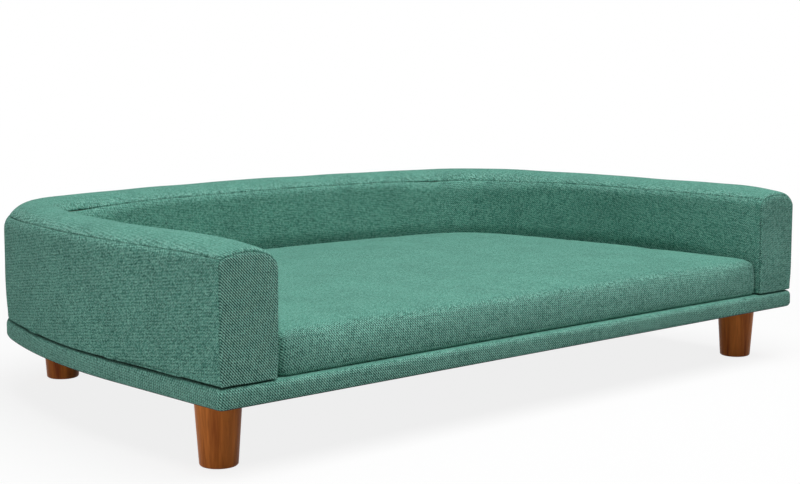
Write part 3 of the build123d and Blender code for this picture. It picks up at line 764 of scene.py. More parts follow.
def patch_points(loop, lengthwise, crosswise):
    """The grid inside a ring: both pairs of opposite sides blended, less the blend of the four corners."""
    left = loop[: lengthwise + 1]
    back = loop[lengthwise: lengthwise + crosswise + 1]
    right = loop[lengthwise + crosswise: 2 * lengthwise + crosswise + 1][::-1]
    front = np.concatenate([loop[2 * lengthwise + crosswise:], loop[:1]])[::-1]
    v = np.linspace(0, 1, lengthwise + 1)[:, None, None]
    u = np.linspace(0, 1, crosswise + 1)[None, :, None]
    v = 0.5 * v + 0.25 * (1 - np.cos(math.pi * v))
    u = 0.5 * u + 0.25 * (1 - np.cos(math.pi * u))
    sides = (1 - u) * left[:, None] + u * right[:, None]
    ends = (1 - v) * front[None] + v * back[None]
    corners = (1 - v) * ((1 - u) * front[0] + u * front[-1]) + v * ((1 - u) * back[0] + u * back[-1])
    return sides + ends - corners, u[..., 0], v[..., 0]


def base_rings(insets, heights, counts):
    """Rings round the platform, one for each inset and height, and their outward directions in plan."""
    rings = []
    for inset, height in zip(insets, heights):
        corner = max(BASE_CORNER_RADIUS - BASE_OVERHANG - inset, BASE_LEAST_CORNER)
        points, plan_outward = ring(inset, inset, corner, height, counts)
        rings.append(points)
    return np.array(rings), plan_outward


def round_base(counts):
    """The distances of a ring's points round the platform's edge, and the edge's whole length."""
    outline = closed_outline(-BASE_OVERHANG, -BASE_OVERHANG, BASE_CORNER_RADIUS)
    around = np.unwrap(loop_places(outline, BASE_CORNER_RADIUS, *counts) / outline.length * 2 * math.pi)
    return around / (2 * math.pi) * outline.length, outline.length


def base_cover(name, shape):
    """The platform's cover: a flat top, a bull-nosed edge and a flap turned under, as one sheet."""
    arc = np.linspace(0, math.pi / 2, 9)
    insets = [*FLAT_INSETS]
    heights = [BASE_TOP] * len(insets)
    insets += list(-BASE_OVERHANG + BASE_TOP_ROUNDING * (1 - np.sin(arc)))
    heights += list(BASE_TOP - BASE_TOP_ROUNDING * (1 - np.cos(arc)))
    insets += list(-BASE_OVERHANG + BASE_FOOT_ROUNDING * (1 - np.cos(arc)))
    heights += list(BASE_BOTTOM - BASE_SAG + BASE_FOOT_ROUNDING * (1 - np.sin(arc)))
    insets += [FLAT_INSETS[-1], BASE_FLAP - BASE_OVERHANG]
    heights += [BASE_BOTTOM] * 2
    rings, plan_outward = base_rings(insets, heights, BASE_COUNTS)
    run = running_length(rings[:, BASE_COLUMN])
    around, perimeter = round_base(BASE_COUNTS)
    flatness = smooth_step(run, run[3], run[6])[:, None]
    flatness = flatness * (1 - smooth_step(run, run[12], run[16]))[:, None]
    waves = soft_noise(
        around + 0 * run[:, None], run[:, None] + 0 * around, wavelength=0.11, seed=PLATFORM_SEED)
    uneven = shape.unevenness * waves
    rings = rings + plan_outward * (uneven * flatness * 0.8)[..., None]
    return closed_sheet(name, rings, around, run, BASE_COUNTS, perimeter, PLATFORM_RIBS)


def closed_sheet(name, rings, around, run, counts, perimeter, ribs=0.0):
    """A sheet from rings, closed on top by a grid; UVs follow the rim on the band and the plan on top."""
    levels, columns = rings.shape[:2]
    faces, uv_corners = grid_quads(levels, columns, wrap=True)
    wide = np.concatenate([around, around[:1] + perimeter])
    band_uv = np.stack(np.broadcast_arrays(-wide[None, :], -run[:, None]), -1).reshape(-1, 2)[uv_corners]
    patch, _, _ = patch_points(rings[0], *counts)
    numbers = patch_numbers(0, levels * columns, *counts)
    patch_faces, _ = grid_quads(*numbers.shape)
    patch_faces = numbers.reshape(-1)[patch_faces]
    points = np.concatenate([rings.reshape(-1, 3), patch[1:-1, 1:-1].reshape(-1, 3)])
    uvs = np.concatenate([band_uv, points[patch_faces][..., :2]])
    return mesh_object(name, points, np.concatenate([faces, patch_faces]), uvs, np.zeros(len(points)), ribs)


def dust_cover(name):
    """The dark cloth under the platform, whose edge turns up over the cover's bottom edge as a thin dark hem:
    partly the cloth's own edge and partly a dark band that stands in for the shade under that edge.

    Rings run in from the hem's upper edge, round the platform's lower edge, and flat to the middle.
    """
    radius = BASE_FOOT_ROUNDING + HEM_PROUD
    arc = np.linspace(HEM_AND_SHADE_ANGLE, math.pi / 2, 7)
    insets = list(-BASE_OVERHANG - HEM_PROUD + radius * (1 - np.cos(arc)))
    heights = list(BASE_BOTTOM - BASE_SAG - HEM_PROUD + radius * (1 - np.sin(arc)))
    insets += FLAT_INSETS[::-1]
    heights += [BASE_BOTTOM - HEM_PROUD] * len(FLAT_INSETS)
    rings = base_rings(insets, heights, DUST_COUNTS)[0][::-1]
    run = running_length(rings[:, DUST_COLUMN])
    around, perimeter = round_base(DUST_COUNTS)
    piece = closed_sheet(name, rings, around, run, DUST_COUNTS, perimeter)
    piece.data.flip_normals()
    thicken(piece, DUST_THICKNESS)
    return piece


def leg(name, place):
    """A turned leg: an even taper, an eased top edge and a quarter round at the foot's edge."""
    arc = np.linspace(0, math.pi / 2, 7)
    foot = LEG_FOOT_RADIUS - LEG_FOOT_ROUNDING
    slope = (LEG_TOP_RADIUS - LEG_FOOT_RADIUS) / LEG_HEIGHT
    radii = [0.0, foot * 0.5]
    heights = [0.0, 0.0]
    radii += list(foot + (LEG_FOOT_ROUNDING + slope * LEG_FOOT_ROUNDING) * np.sin(arc))
    heights += list(LEG_FOOT_ROUNDING * (1 - np.cos(arc)))
    rises = np.linspace(LEG_FOOT_ROUNDING, LEG_HEIGHT - LEG_SIDE_END, 14)[1:]
    radii += list(LEG_FOOT_RADIUS + slope * rises)
    heights += list(rises)
    radii += [LEG_TOP_RADIUS - inwards for inwards, _ in LEG_TOP_EASING]
    heights += [LEG_HEIGHT - down for _, down in LEG_TOP_EASING]
    radii += [LEG_TOP_RADIUS * 0.5, 0.0]
    heights += [LEG_HEIGHT, LEG_HEIGHT]
    radii, heights = (np.array(values)[:, None] for values in (radii, heights))
    turn = np.linspace(0, 2 * math.pi, LEG_COLUMNS, endpoint=False)
    points = np.stack(np.broadcast_arrays(
        place[0] + radii * np.cos(turn), place[1] + radii * np.sin(turn), heights), -1)
    levels, columns = points.shape[:2]
    flat = points.reshape(-1, 3)
    faces, uv_corners = grid_quads(levels, columns, wrap=True)
    wide = np.linspace(0, 1, columns + 1)
    uvs = np.stack(np.broadcast_arrays(wide[None, :], heights), -1).reshape(-1, 2)[uv_corners]
    outward = flat - np.array([place[0], place[1], LEG_HEIGHT / 2])
    if not facing(flat, faces, outward):
        faces, uvs = faces[:, ::-1], uvs[:, ::-1]
    piece = mesh_object(name, flat, faces, uvs)
    weld(piece)
    return piece


def weld(piece, distance=1e-6):
    """Join the points that lie on one another, as at a pole."""
    shape = bmesh.new()
    shape.from_mesh(piece.data)
    bmesh.ops.remove_doubles(shape, verts=shape.verts, dist=distance)
    bmesh.ops.dissolve_degenerate(shape, dist=distance, edges=shape.edges)
    shape.to_mesh(piece.data)
    shape.free()


def cushion_levels(rounding=CUSHION_EDGE_ROUNDING):
    """Insets and heights down the cushion's edge: top rounding, bulged side with the zip's slot, foot.

    A larger rounding takes its height from the side, whose levels draw together in proportion.
    """
    full_shoulder = CUSHION_BOTTOM + CUSHION_EDGE_HEIGHT - CUSHION_EDGE_ROUNDING
    shoulder = CUSHION_BOTTOM + CUSHION_EDGE_HEIGHT - rounding
    foot = CUSHION_BOTTOM + CUSHION_FOOT
    zip_height = CUSHION_BOTTOM + CUSHION_EDGE_HEIGHT / 2
    seam = math.asin((rounding - TOP_SEAM_DROP) / rounding)
    angles = (seam + (math.pi / 2 - seam) * np.array([1, 0.8, 0.6, 0.42, 0.26, 0.14])).tolist()
    angles += [seam + beside for beside in (0.09, 0.04, 0, -0.04, -0.09)] + [0]
    insets = [CUSHION_BULGE + rounding * (1 - math.cos(a)) for a in angles]
    heights = [shoulder + rounding * math.sin(a) for a in angles]
    lip = ZIP_SLOT_HEIGHT / 2
    steps = [0.0095, 0.0078, lip + 0.0006, lip + 0.0002, lip, 0.003]
    side = [zip_height + s for s in steps] + [zip_height] + [zip_height - s for s in steps[::-1]]
    side += [zip_height - 0.0135, foot + 0.0012, foot + 0.0005, foot]
    side = foot + (np.array(side) - foot) * (shoulder - foot) / (full_shoulder - foot)
    half = (shoulder - foot) / 2
    for height in side:
        insets.append(CUSHION_BULGE * ((height - foot - half) / half) ** 2)
        heights.append(height)
    for angle in np.radians([4, 10, 30, 60, 90]):
        insets.append(CUSHION_BULGE + (CUSHION_FOOT - CUSHION_BULGE) * (1 - math.cos(angle)))
        heights.append(foot - CUSHION_FOOT * math.sin(angle))
    return np.array(insets), np.array(heights), zip_height


def cushion_form(crown):
    """Rings down the cushion's edge and the grids that close it above and below.

    The front's edge has a larger rounding, into which the sides' rounding blends near the front corners.
    """
    formed = []
    for rounding in (CUSHION_EDGE_ROUNDING, CUSHION_FRONT_ROUNDING):
        insets, heights, zip_height = cushion_levels(rounding)
        for inset, height in zip(insets, heights):
            whole = WALL_THICKNESS + CUSHION_GAP + inset
            setback = CUSHION_SETBACK + inset
            formed.append(ring(whole, setback, CUSHION_CORNER, height, CUSHION_COUNTS))
    levels = len(formed) // 2
    points, outward = (np.array([pair[k] for pair in formed]) for k in (0, 1))
    half_width = WALL_HALF_WIDTH - WALL_THICKNESS - CUSHION_GAP
    fullness = smooth_step(half_width - np.abs(points[:levels, :, :1]), 0, 0.07)
    fullness = fullness * smooth_step(-outward[:levels, :, 1:2], 0.4, 0.95)
    rings = points[:levels] * (1 - fullness) + points[levels:] * fullness
    outward = outward[:levels]
    top, u, v = patch_points(rings[0], *CUSHION_COUNTS)
    bottom, _, _ = patch_points(rings[-1], *CUSHION_COUNTS)
    rise = crown * (1 - np.abs(2 * u - 1) ** CROWN_POWER) * (1 - np.abs(2 * v - 1) ** CROWN_POWER)
    top[..., 2] += rise
    for points in (rings, top, bottom):
        points[..., 0] += CUSHION_SHIFT
        forward = np.clip(-points[..., 1] / -WALL_FRONT, 0, 1)
        points[..., 1] += CUSHION_FRONT_DRAW * forward * (1 - (points[..., 0] / WALL_HALF_WIDTH) ** 2)
    return rings, outward, top, bottom, zip_height


def cushion_faces(levels):
    """Quads of the edge, with the corner numbers of its UVs, and quads of the top and the bottom."""
    lengthwise, crosswise = CUSHION_COUNTS
    columns = 2 * (lengthwise + crosswise)
    inner = (lengthwise - 1) * (crosswise - 1)
    band, uv_corners = grid_quads(levels, columns, wrap=True)
    top = patch_numbers(0, levels * columns, lengthwise, crosswise)
    bottom = patch_numbers((levels - 1) * columns, levels * columns + inner, lengthwise, crosswise)
    grid, _ = grid_quads(lengthwise + 1, crosswise + 1)
    top_faces = top.reshape(-1)[grid]
    bottom_faces = bottom.reshape(-1)[grid][:, ::-1]
    return band, uv_corners, top_faces, bottom_faces


def cushion_points(rings, top, bottom):
    """The points of the edge's rings, then those inside the top's grid and the bottom's."""
    grids = (rings, top[1:-1, 1:-1], bottom[1:-1, 1:-1])
    return np.concatenate([grid.reshape(-1, 3) for grid in grids])


def puffed(points, faces, frames, pressure):
    """The points after a short cloth run under inner pressure and no gravity."""
    rest = mesh_object("cushion_cloth_run", points, faces, np.zeros((len(faces), 4, 2)))
    cloth = rest.modifiers.new("cloth", "CLOTH")
    cloth.settings.quality = 4
    cloth.settings.effector_weights.gravity = 0
    cloth.settings.use_pressure = True
    cloth.settings.uniform_pressure_force = pressure
    cloth.settings.tension_stiffness = 20
    cloth.settings.compression_stiffness = 20
    cloth.settings.shear_stiffness = 8
    cloth.settings.bending_stiffness = 1.5
    cloth.point_cache.frame_start = 1
    cloth.point_cache.frame_end = frames
    scene = bpy.context.scene
    for number in range(1, frames + 1):
        scene.frame_set(number)
    shaped = rest.evaluated_get(bpy.context.evaluated_depsgraph_get())
    mesh = shaped.to_mesh()
    after = np.empty(3 * len(mesh.vertices), np.float32)
    mesh.vertices.foreach_get("co", after)
    shaped.to_mesh_clear()
    scene.frame_set(1)
    bpy.data.objects.remove(rest)
    return after.reshape(-1, 3).astype(float)


def cushion_swell(shape, crown):
    """How far the cloth run moves the rings' points and those inside the top's grid, capped.

    The run uses a form with few levels, and the levels between them take their share of both.
    """
    rings, _, top, bottom, _ = cushion_form(crown)
    levels, columns = rings.shape[:2]
    kept = np.array(CLOTH_LEVELS) % levels
    band, _, top_faces, bottom_faces = cushion_faces(len(kept))
    points = cushion_points(rings[kept], top, bottom)
    faces = np.concatenate([band, top_faces, bottom_faces])
    moved = puffed(points, faces, shape.cloth_frames, shape.cloth_pressure) - points
    size = np.linalg.norm(moved, axis=1, keepdims=True)
    moved = moved * np.minimum(1, shape.cloth_cap / np.maximum(size, TINY))
    edge_count = len(kept) * columns
    edge = moved[:edge_count].reshape(len(kept), columns, 3)
    top_inside = top[1:-1, 1:-1]
    top_moved = moved[edge_count: edge_count + top_inside[..., 0].size]
    down = running_length(rings[:, CUSHION_COLUMN])
    weights = np.array([np.interp(down, down[kept], row) for row in np.eye(len(kept))]).T
    return np.tensordot(weights, edge, 1), top_moved.reshape(top_inside.shape)


def cushion(name, shape):
    """The cushion: a crowned closed form, puffed by cloth, with sewn edges and a slot for the zip behind."""
    start_crown = shape.cushion_crown * CROWN_BEFORE_CLOTH
    rings, outward, top, bottom, zip_height = cushion_form(start_crown)
    levels, columns = rings.shape[:2]
    edge_moved, top_moved = cushion_swell(shape, start_crown)
    sideways = np.sum(edge_moved * outward, -1, keepdims=True)
    held = np.clip(sideways, -CLOTH_INWARD_CAP, shape.side_cap) - sideways
    edge_moved = edge_moved + outward * held
    freed = smooth_step(rings[..., 2], *(CUSHION_BOTTOM + held_to for held_to in CLOTH_HELD_HEIGHTS))
    rings = rings + edge_moved * freed[..., None]
    top[1:-1, 1:-1] += top_moved
    down = np.cumsum(np.linalg.norm(np.diff(rings, axis=0, prepend=rings[:1]), axis=-1), axis=0)
    heights = cushion_levels()[1]
    upper_seam = int(np.argmin(np.abs(heights - (CUSHION_BOTTOM + CUSHION_EDGE_HEIGHT - TOP_SEAM_DROP))))
    lower_seam = int(np.argmin(np.abs(heights - (CUSHION_BOTTOM + CUSHION_FOOT))))
    gap = np.minimum(np.abs(down - down[upper_seam]), np.abs(down - down[lower_seam]))
    step = np.linalg.norm(np.roll(rings[upper_seam], -1, axis=0) - rings[upper_seam], axis=-1)
    around = np.concatenate([[0], np.cumsum(step)[:-1]])
    perimeter = float(step.sum())
    gathers = puckers(gap, around + 0 * gap, shape.pucker * 0.7, CUSHION_SEAM_SEED)
    dips = gathers - seam_dip(gap, shape.cushion_seam_depth, 0.002)
    rings = rings + outward * dips[..., None]
    uneven = shape.unevenness * soft_noise(top[..., 0], top[..., 1], wavelength=0.16, seed=CUSHION_TOP_SEED)
    from_middle = [np.abs(np.linspace(-1, 1, count + 1)) for count in CUSHION_COUNTS]
    rim = 1 - np.maximum(from_middle[1][None, :], from_middle[0][:, None]) ** 8
    top[..., 2] += uneven * rim
    in_slot = np.abs(heights - zip_height) < ZIP_SLOT_HEIGHT / 2 + SLOT_TOLERANCE
    slot_half = (ZIP_LENGTH / 2 + SLIDER_LENGTH) * SLOT_SHARE
    behind = (rings[upper_seam, :, 1] > 0) & (np.abs(rings[upper_seam, :, 0]) < slot_half)
    rings = rings - outward * (ZIP_RECESS * in_slot[:, None] * behind[None, :])[..., None]
    band, uv_corners, top_faces, bottom_faces = cushion_faces(levels)
    points = cushion_points(rings, top, bottom)
    uvs = cushion_uvs(rings, outward, down, around, perimeter, upper_seam, lower_seam, uv_corners)
    faces = np.concatenate([band, top_faces, bottom_faces])
    uvs = np.concatenate([uvs, points[top_faces][..., :2], points[bottom_faces][..., :2]])
    # Painted shade along the border's seams
    shade = np.zeros(len(points))
    shade[: levels * columns] = CUSHION_SEAM_SHADE * seam_shade(gap).reshape(-1)
    return mesh_object(name, points, faces, uvs, shade, CUSHION_RIBS)


def cushion_uvs(rings, outward, down, around, perimeter, upper_seam, lower_seam, uv_corners):
    """UVs of the edge's quads: the top panel's plan rolled outwards, the border's own, and the bottom's."""
    levels, columns = rings.shape[:2]

    def wide(grid):
        return np.concatenate([grid, grid[:, :1]], axis=1)

    top = rings[:1, :, :2] + outward[..., :2] * down[..., None]
    under = rings[-1:, :, :2] + outward[..., :2] * (down[-1] - down)[..., None]
    run = np.concatenate([around, [perimeter]])
    border = np.stack(np.broadcast_arrays(-run[None, :], -wide(down)), -1)
    level = np.repeat(np.arange(levels - 1), columns)
    choices = [wide(top).reshape(-1, 2), border.reshape(-1, 2), wide(under).reshape(-1, 2)]
    top_uv, border_uv, under_uv = (choice[uv_corners] for choice in choices)
    kind = np.where(level < upper_seam, 0, np.where(level < lower_seam, 1, 2))[:, None, None]
    return np.where(kind == 0, top_uv, np.where(kind == 1, border_uv, under_uv))


class Graph:
    """Builds a node tree: each input is fed by a socket or set to a value."""

    def __init__(self, tree):
        self.tree = tree

    def node(self, kind, inputs=None, **settings):
        made = self.tree.nodes.new(kind)
        for name, value in settings.items():
            setattr(made, name, value)
        for name, value in (inputs or {}).items():
            self.feed(made.inputs[name], value)
        return made

    def feed(self, socket, value):
        if isinstance(value, bpy.types.NodeSocket):
            self.tree.links.new(value, socket)
        else:
            socket.default_value = value

    def math(self, operation, first, second=0.0, third=0.0):
        made = self.tree.nodes.new("ShaderNodeMath")
        made.operation = operation
        for socket, value in zip(made.inputs, (first, second, third)):
            self.feed(socket, value)
        return made.outputs[0]

    def add(self, first, second):
        return self.math("ADD", first, second)

    def subtract(self, first, second):
        return self.math("SUBTRACT", first, second)

    def multiply(self, first, second):
        return self.math("MULTIPLY", first, second)

    def divide(self, first, second):
        return self.math("DIVIDE", first, second)

    def mix(self, factor, first, second, blend="MIX"):
        made = self.node("ShaderNodeMix", data_type="RGBA", blend_type=blend)
        self.feed(made.inputs[0], factor)
        self.feed(made.inputs[6], first)
        self.feed(made.inputs[7], second)
        return made.outputs[2]

    def scale(self, vector, factors):
        made = self.node("ShaderNodeVectorMath", {0: vector, 1: factors}, operation="MULTIPLY")
        return made.outputs[0]

    def noise(self, vector, scale, detail=2.0, distortion=0.0):
        inputs = {"Vector": vector, "Scale": scale, "Detail": detail, "Distortion": distortion}
        return self.node("ShaderNodeTexNoise", inputs).outputs[0]

    def spread(self, value, low, high, to_low=0.0, to_high=1.0):
        inputs = {"Value": value, "From Min": low, "From Max": high, "To Min": to_low, "To Max": to_high}
        return self.node("ShaderNodeMapRange", inputs).outputs[0]


SOCKETS = {"vector": "NodeSocketVector", "value": "NodeSocketFloat", "colour": "NodeSocketColor"}


def shader_group(name, inputs, outputs):
    """A node group with named sockets, and the sockets inside it that bring values in and take them out."""
    tree = bpy.data.node_groups.new(name, "ShaderNodeTree")
    for label, kind in inputs.items():
        tree.interface.new_socket(name=label, in_out="INPUT", socket_type=SOCKETS[kind])
    for label, kind in outputs.items():
        tree.interface.new_socket(name=label, in_out="OUTPUT", socket_type=SOCKETS[kind])
    graph = Graph(tree)
    given = graph.node("NodeGroupInput").outputs
    taken = graph.node("NodeGroupOutput").inputs
    return graph, given, taken


def heathered_twill_group():
    """Two-over-two twill: the warp shows where the warp and weft counts, added, leave 0 or 1 over from 4.

    Each yarn is a round ridge that arches over its float, with painted shade at its edges and a little
    painted light on its crown.
    Its tone varies from float to float, in slubs, and in even dashes and uneven streaks that run along the
    ribs.
    """
    inputs = {"Vector": "vector", "Yarn": "value", "Light": "colour", "Middle": "colour", "Dark": "colour",
              "Contrast": "value", "Heather": "value", "Mottle": "value"}
    graph, given, taken = shader_group("heathered_twill", inputs, {"Color": "colour", "Height": "value"})
    wander = graph.noise(given["Vector"], 26.0, 1.0)
    place = graph.node("ShaderNodeSeparateXYZ", {0: given["Vector"]})
    drift = graph.multiply(graph.subtract(wander, 0.5), YARN_WANDER)
    across = graph.divide(graph.add(place.outputs[0], drift), given["Yarn"])
    along = graph.divide(graph.subtract(place.outputs[1], drift), given["Yarn"])
    warp = graph.math("FLOOR", across)
    weft = graph.math("FLOOR", along)
    warp_up = graph.math("LESS_THAN", graph.math("FLOORED_MODULO", graph.add(warp, weft), TWILL_REPEAT), 2.0)
    weft_up = graph.subtract(1.0, warp_up)
    rib_number = graph.math("FLOOR", graph.divide(graph.add(warp, weft), TWILL_REPEAT))

    def ridge(position, phase, middle):
        centred = graph.subtract(graph.multiply(graph.math("FRACT", position), 2.0), 1.0)
        rounded = graph.subtract(1.0, graph.multiply(centred, centred))
        from_middle = graph.subtract(phase, middle)
        arch = graph.subtract(1.0, graph.multiply(from_middle, from_middle))
        return graph.multiply(rounded, graph.math("MULTIPLY_ADD", arch, 0.5, 0.5))

    warp_phase = graph.math("FLOORED_MODULO", graph.add(along, warp), TWILL_REPEAT)
    weft_phase = graph.math("FLOORED_MODULO", graph.add(across, weft), TWILL_REPEAT)
    warp_height = ridge(across, warp_phase, 1.0)
    weft_height = ridge(along, weft_phase, 3.0)
    height = graph.add(graph.multiply(warp_height, warp_up), graph.multiply(weft_height, weft_up))

    def float_tone(count, run, shift):
        passed = graph.math("FLOOR", graph.divide(graph.add(run, count), TWILL_REPEAT))
        place = graph.node("ShaderNodeCombineXYZ", {0: count, 1: passed, 2: shift})
        white = graph.node("ShaderNodeTexWhiteNoise", {0: place.outputs[0]}, noise_dimensions="3D")
        return graph.subtract(white.outputs[0], 0.5)

    def streak(length, shift):
        apart = graph.multiply(rib_number, RIBS_APART)
        run = graph.divide(graph.subtract(across, along), length)
        place = graph.node("ShaderNodeCombineXYZ", {0: apart, 1: run, 2: shift})
        return graph.subtract(graph.noise(place.outputs[0], 1.0, 1.0), 0.5)

    grain = graph.add(graph.multiply(float_tone(warp, along, 0.0), warp_up),
                      graph.multiply(float_tone(weft, across, 5.0), weft_up))
    streaks = graph.add(streak(5.0, 0.0), graph.multiply(streak(16.0, 7.0), 0.6))
    streaks = graph.multiply(streaks, graph.multiply(given["Contrast"], 1.15))
    grain = graph.multiply(grain, graph.spread(given["Contrast"], 0.2, 0.36, 0.27, 0.62))
    grain = graph.multiply(grain, graph.spread(given["Contrast"], 0.4, 0.7, 1.0, 0.4))
    travel = graph.math("MULTIPLY_ADD", rib_number, 3.0, graph.subtract(across, along))
    wave = graph.math("SINE", graph.multiply(travel, 2 * math.pi / DASH_LENGTH))
    dashes = graph.multiply(wave, graph.multiply(given["Contrast"], 0.30))
    slubs = graph.subtract(graph.noise(given["Vector"], 330.0, 1.0), 0.5)
    slubs = graph.multiply(slubs, graph.spread(given["Contrast"], 0.25, 0.9, 0.1, 0.25))
    varied = graph.add(graph.add(grain, streaks), graph.add(dashes, slubs))
    rib = graph.multiply(given["Contrast"], graph.subtract(warp_up, 0.5))
    tone = graph.add(graph.math("MULTIPLY_ADD", varied, given["Heather"], 0.5), rib)
    double = graph.multiply(tone, 2.0)
    lower = graph.node("ShaderNodeClamp", {0: double}).outputs[0]
    upper = graph.node("ShaderNodeClamp", {0: graph.subtract(double, 1.0)}).outputs[0]
    colour = graph.mix(upper, graph.mix(lower, given["Dark"], given["Middle"]), given["Light"])
    # Painted shade between the yarns and a little painted light on their crowns, from the ridge's height
    gap = graph.spread(height, 0.0, 0.8, 0.5, 1.12)
    broad = graph.noise(given["Vector"], 16.0, 3.0)
    clouds = graph.multiply(given["Mottle"], graph.subtract(broad, 0.5))
    cloudy = graph.add(1.0, clouds)
    # The yarns' painted shade and light, and the mottle's clouds, scale the colour
    colour = graph.mix(1.0, colour, graph.multiply(gap, cloudy), "MULTIPLY")
    graph.feed(taken["Color"], colour)
    graph.feed(taken["Height"], height)


def wood_grain_group():
    """Grain along Z: noise drawn out along it for bands and fine lines, with pores and darker blotches."""
    inputs = {"Vector": "vector", "Light": "colour", "Dark": "colour",
              "Band Scale": "value", "Blotch": "value"}
    outputs = {"Color": "colour", "Roughness": "value", "Height": "value"}
    graph, given, taken = shader_group("wood_grain", inputs, outputs)
    long_grain = graph.scale(given["Vector"], (1.0, 1.0, 0.07))
    bands = graph.noise(long_grain, given["Band Scale"], 3.0, 0.8)
    lines = graph.noise(graph.scale(given["Vector"], (1.0, 1.0, 0.03)), 520.0, 2.0)
    pores = graph.noise(graph.scale(given["Vector"], (1.0, 1.0, 0.05)), 1500.0, 1.0)
    blotch = graph.noise(graph.scale(given["Vector"], (1.0, 1.0, 0.45)), 34.0, 2.0)
    tone = graph.add(graph.multiply(bands, 0.82), graph.multiply(lines, 0.18))
    colour = graph.mix(graph.spread(tone, 0.34, 0.66), given["Dark"], given["Light"])
    pore = graph.spread(pores, 0.62, 0.72, 1.0, 0.86)
    stain = graph.multiply(graph.spread(blotch, 0.56, 0.74), given["Blotch"])
    shade = graph.multiply(pore, graph.subtract(1.0, stain))
    graph.feed(taken["Color"], graph.mix(1.0, colour, shade, "MULTIPLY"))
    graph.feed(taken["Roughness"], graph.spread(lines, 0.3, 0.7, 0.34, 0.5))
    graph.feed(taken["Height"], graph.multiply(pore, graph.spread(lines, 0.2, 0.8, 0.6, 1.0)))


def fibre_mat_group():
    """Matted fibres or foam cells: two crossed, drawn-out noises over a cell pattern."""
    inputs = {"Vector": "vector", "Light": "colour", "Dark": "colour", "Scale": "value", "Cells": "value"}
    graph, given, taken = shader_group("fibre_mat", inputs, {"Color": "colour", "Height": "value"})
    one = graph.noise(graph.scale(given["Vector"], (1.0, 0.25, 0.6)), given["Scale"], 3.0, 1.5)
    other = graph.noise(graph.scale(given["Vector"], (0.25, 1.0, 0.6)), given["Scale"], 3.0, 1.5)
    cell = graph.node("ShaderNodeTexVoronoi", {"Vector": given["Vector"], "Scale": given["Scale"]}).outputs[0]
    fibres = graph.math("MAXIMUM", one, other)
    pattern = graph.add(graph.multiply(cell, given["Cells"]),
                        graph.multiply(fibres, graph.subtract(1.0, given["Cells"])))
    graph.feed(taken["Color"], graph.mix(graph.spread(pattern, 0.35, 0.75), given["Dark"], given["Light"]))
    graph.feed(taken["Height"], pattern)


def worn_metal_group():
    """Plated or painted metal: drawn-out scratches and soft spots that change its tone and gloss."""
    inputs = {"Vector": "vector", "Light": "colour", "Dark": "colour"}
    outputs = {"Color": "colour", "Roughness": "value", "Height": "value"}
    graph, given, taken = shader_group("worn_metal", inputs, outputs)
    scratches = graph.noise(graph.scale(given["Vector"], (1.0, 0.08, 1.0)), 2600.0, 2.0)
    spots = graph.noise(given["Vector"], 420.0, 3.0)
    tone = graph.add(graph.multiply(scratches, 0.4), graph.multiply(spots, 0.6))
    graph.feed(taken["Color"], graph.mix(graph.spread(tone, 0.35, 0.65), given["Dark"], given["Light"]))
    graph.feed(taken["Roughness"], graph.spread(tone, 0.3, 0.7, 0.28, 0.46))
    graph.feed(taken["Height"], scratches)


def linear(colour):
    """An sRGB colour as linear light, with alpha 1."""
    values = np.array(colour[:3], float)
    lit = np.where(values <= 0.04045, values / 12.92, ((values + 0.055) / 1.055) ** 2.4)
    return (*lit.tolist(), 1.0)


def look(slot):
    """The material made here for one of the record's slots."""
    return bpy.data.materials["look_" + slot]


def start_material(slot, tree_group, inputs, roughness, bump, settings=None):
    """A material for a slot, whose group feeds the bump (strength, distance) and perhaps the roughness.

    Gives the material's graph, its shader and the group's colour.
    """
    material = bpy.data.materials.new("look_" + slot)
    material.use_nodes = True
    graph = Graph(material.node_tree)
    shader = material.node_tree.nodes["Principled BSDF"]
    shader.inputs["Roughness"].default_value = roughness
    for label, value in (settings or {}).items():
        shader.inputs[label].default_value = value
    group = graph.node("ShaderNodeGroup", node_tree=tree_group)
    for label, value in inputs(graph).items():
        graph.feed(group.inputs[label], value)
    if "Roughness" in group.outputs:
        graph.feed(shader.inputs["Roughness"], group.outputs["Roughness"])
    strength, distance = bump
    relief = graph.node("ShaderNodeBump", {"Strength": strength, "Distance": distance,
                                           "Height": group.outputs["Height"]})
    graph.feed(shader.inputs["Normal"], relief.outputs[0])
    return graph, shader, group.outputs["Color"]


def object_place(graph):
    """The socket that gives places in the object's own frame."""
    return graph.node("ShaderNodeTexCoord").outputs["Object"]


def facing_up(graph):
    """How far the surface looks up: the upward part of its normal, in the object's own frame."""
    normal = graph.node("ShaderNodeTexCoord").outputs["Normal"]
    return graph.node("ShaderNodeSeparateXYZ", {0: normal}).outputs[2]


def fabric_material(slot, colours, settings):
    """The sofa's cloth, which follows each panel's UVs and has shade painted along its seams."""

    def ribs(graph):
        strength = graph.node("ShaderNodeAttribute", attribute_name="rib_strength").outputs["Fac"]
        return graph.multiply(strength, settings.rib_contrast)

    def inputs(graph):
        clearest = graph.spread(facing_up(graph), 0.35, 0.9, 1.0, settings.top_contrast)
        return {
            "Vector": graph.node("ShaderNodeUVMap", uv_map="cloth").outputs[0],
            "Yarn": settings.yarn_pitch,
            "Light": linear(colours.light),
            "Middle": linear(colours.middle),
            "Dark": linear(colours.dark),
            "Contrast": graph.math("MINIMUM", ribs(graph), clearest),
            "Heather": settings.heather,
            "Mottle": settings.mottle,
        }

    finish = {"Sheen Weight": 0.05, "Sheen Roughness": 0.5, "Specular IOR Level": 0.05}
    graph, shader, colour = start_material(
        slot, bpy.data.node_groups["heathered_twill"], inputs,
        roughness=0.92, bump=(0.55, 0.00035), settings=finish)
    # Painted shade: the colour darkens towards grey green along each seam's crease
    seam = graph.node("ShaderNodeAttribute", attribute_name="seam_shade").outputs["Fac"]
    shade = graph.mix(graph.multiply(seam, 0.4), (1, 1, 1, 1), linear((0.42, 0.5, 0.48)))
    graph.feed(shader.inputs["Base Color"], graph.mix(1.0, colour, shade, "MULTIPLY"))


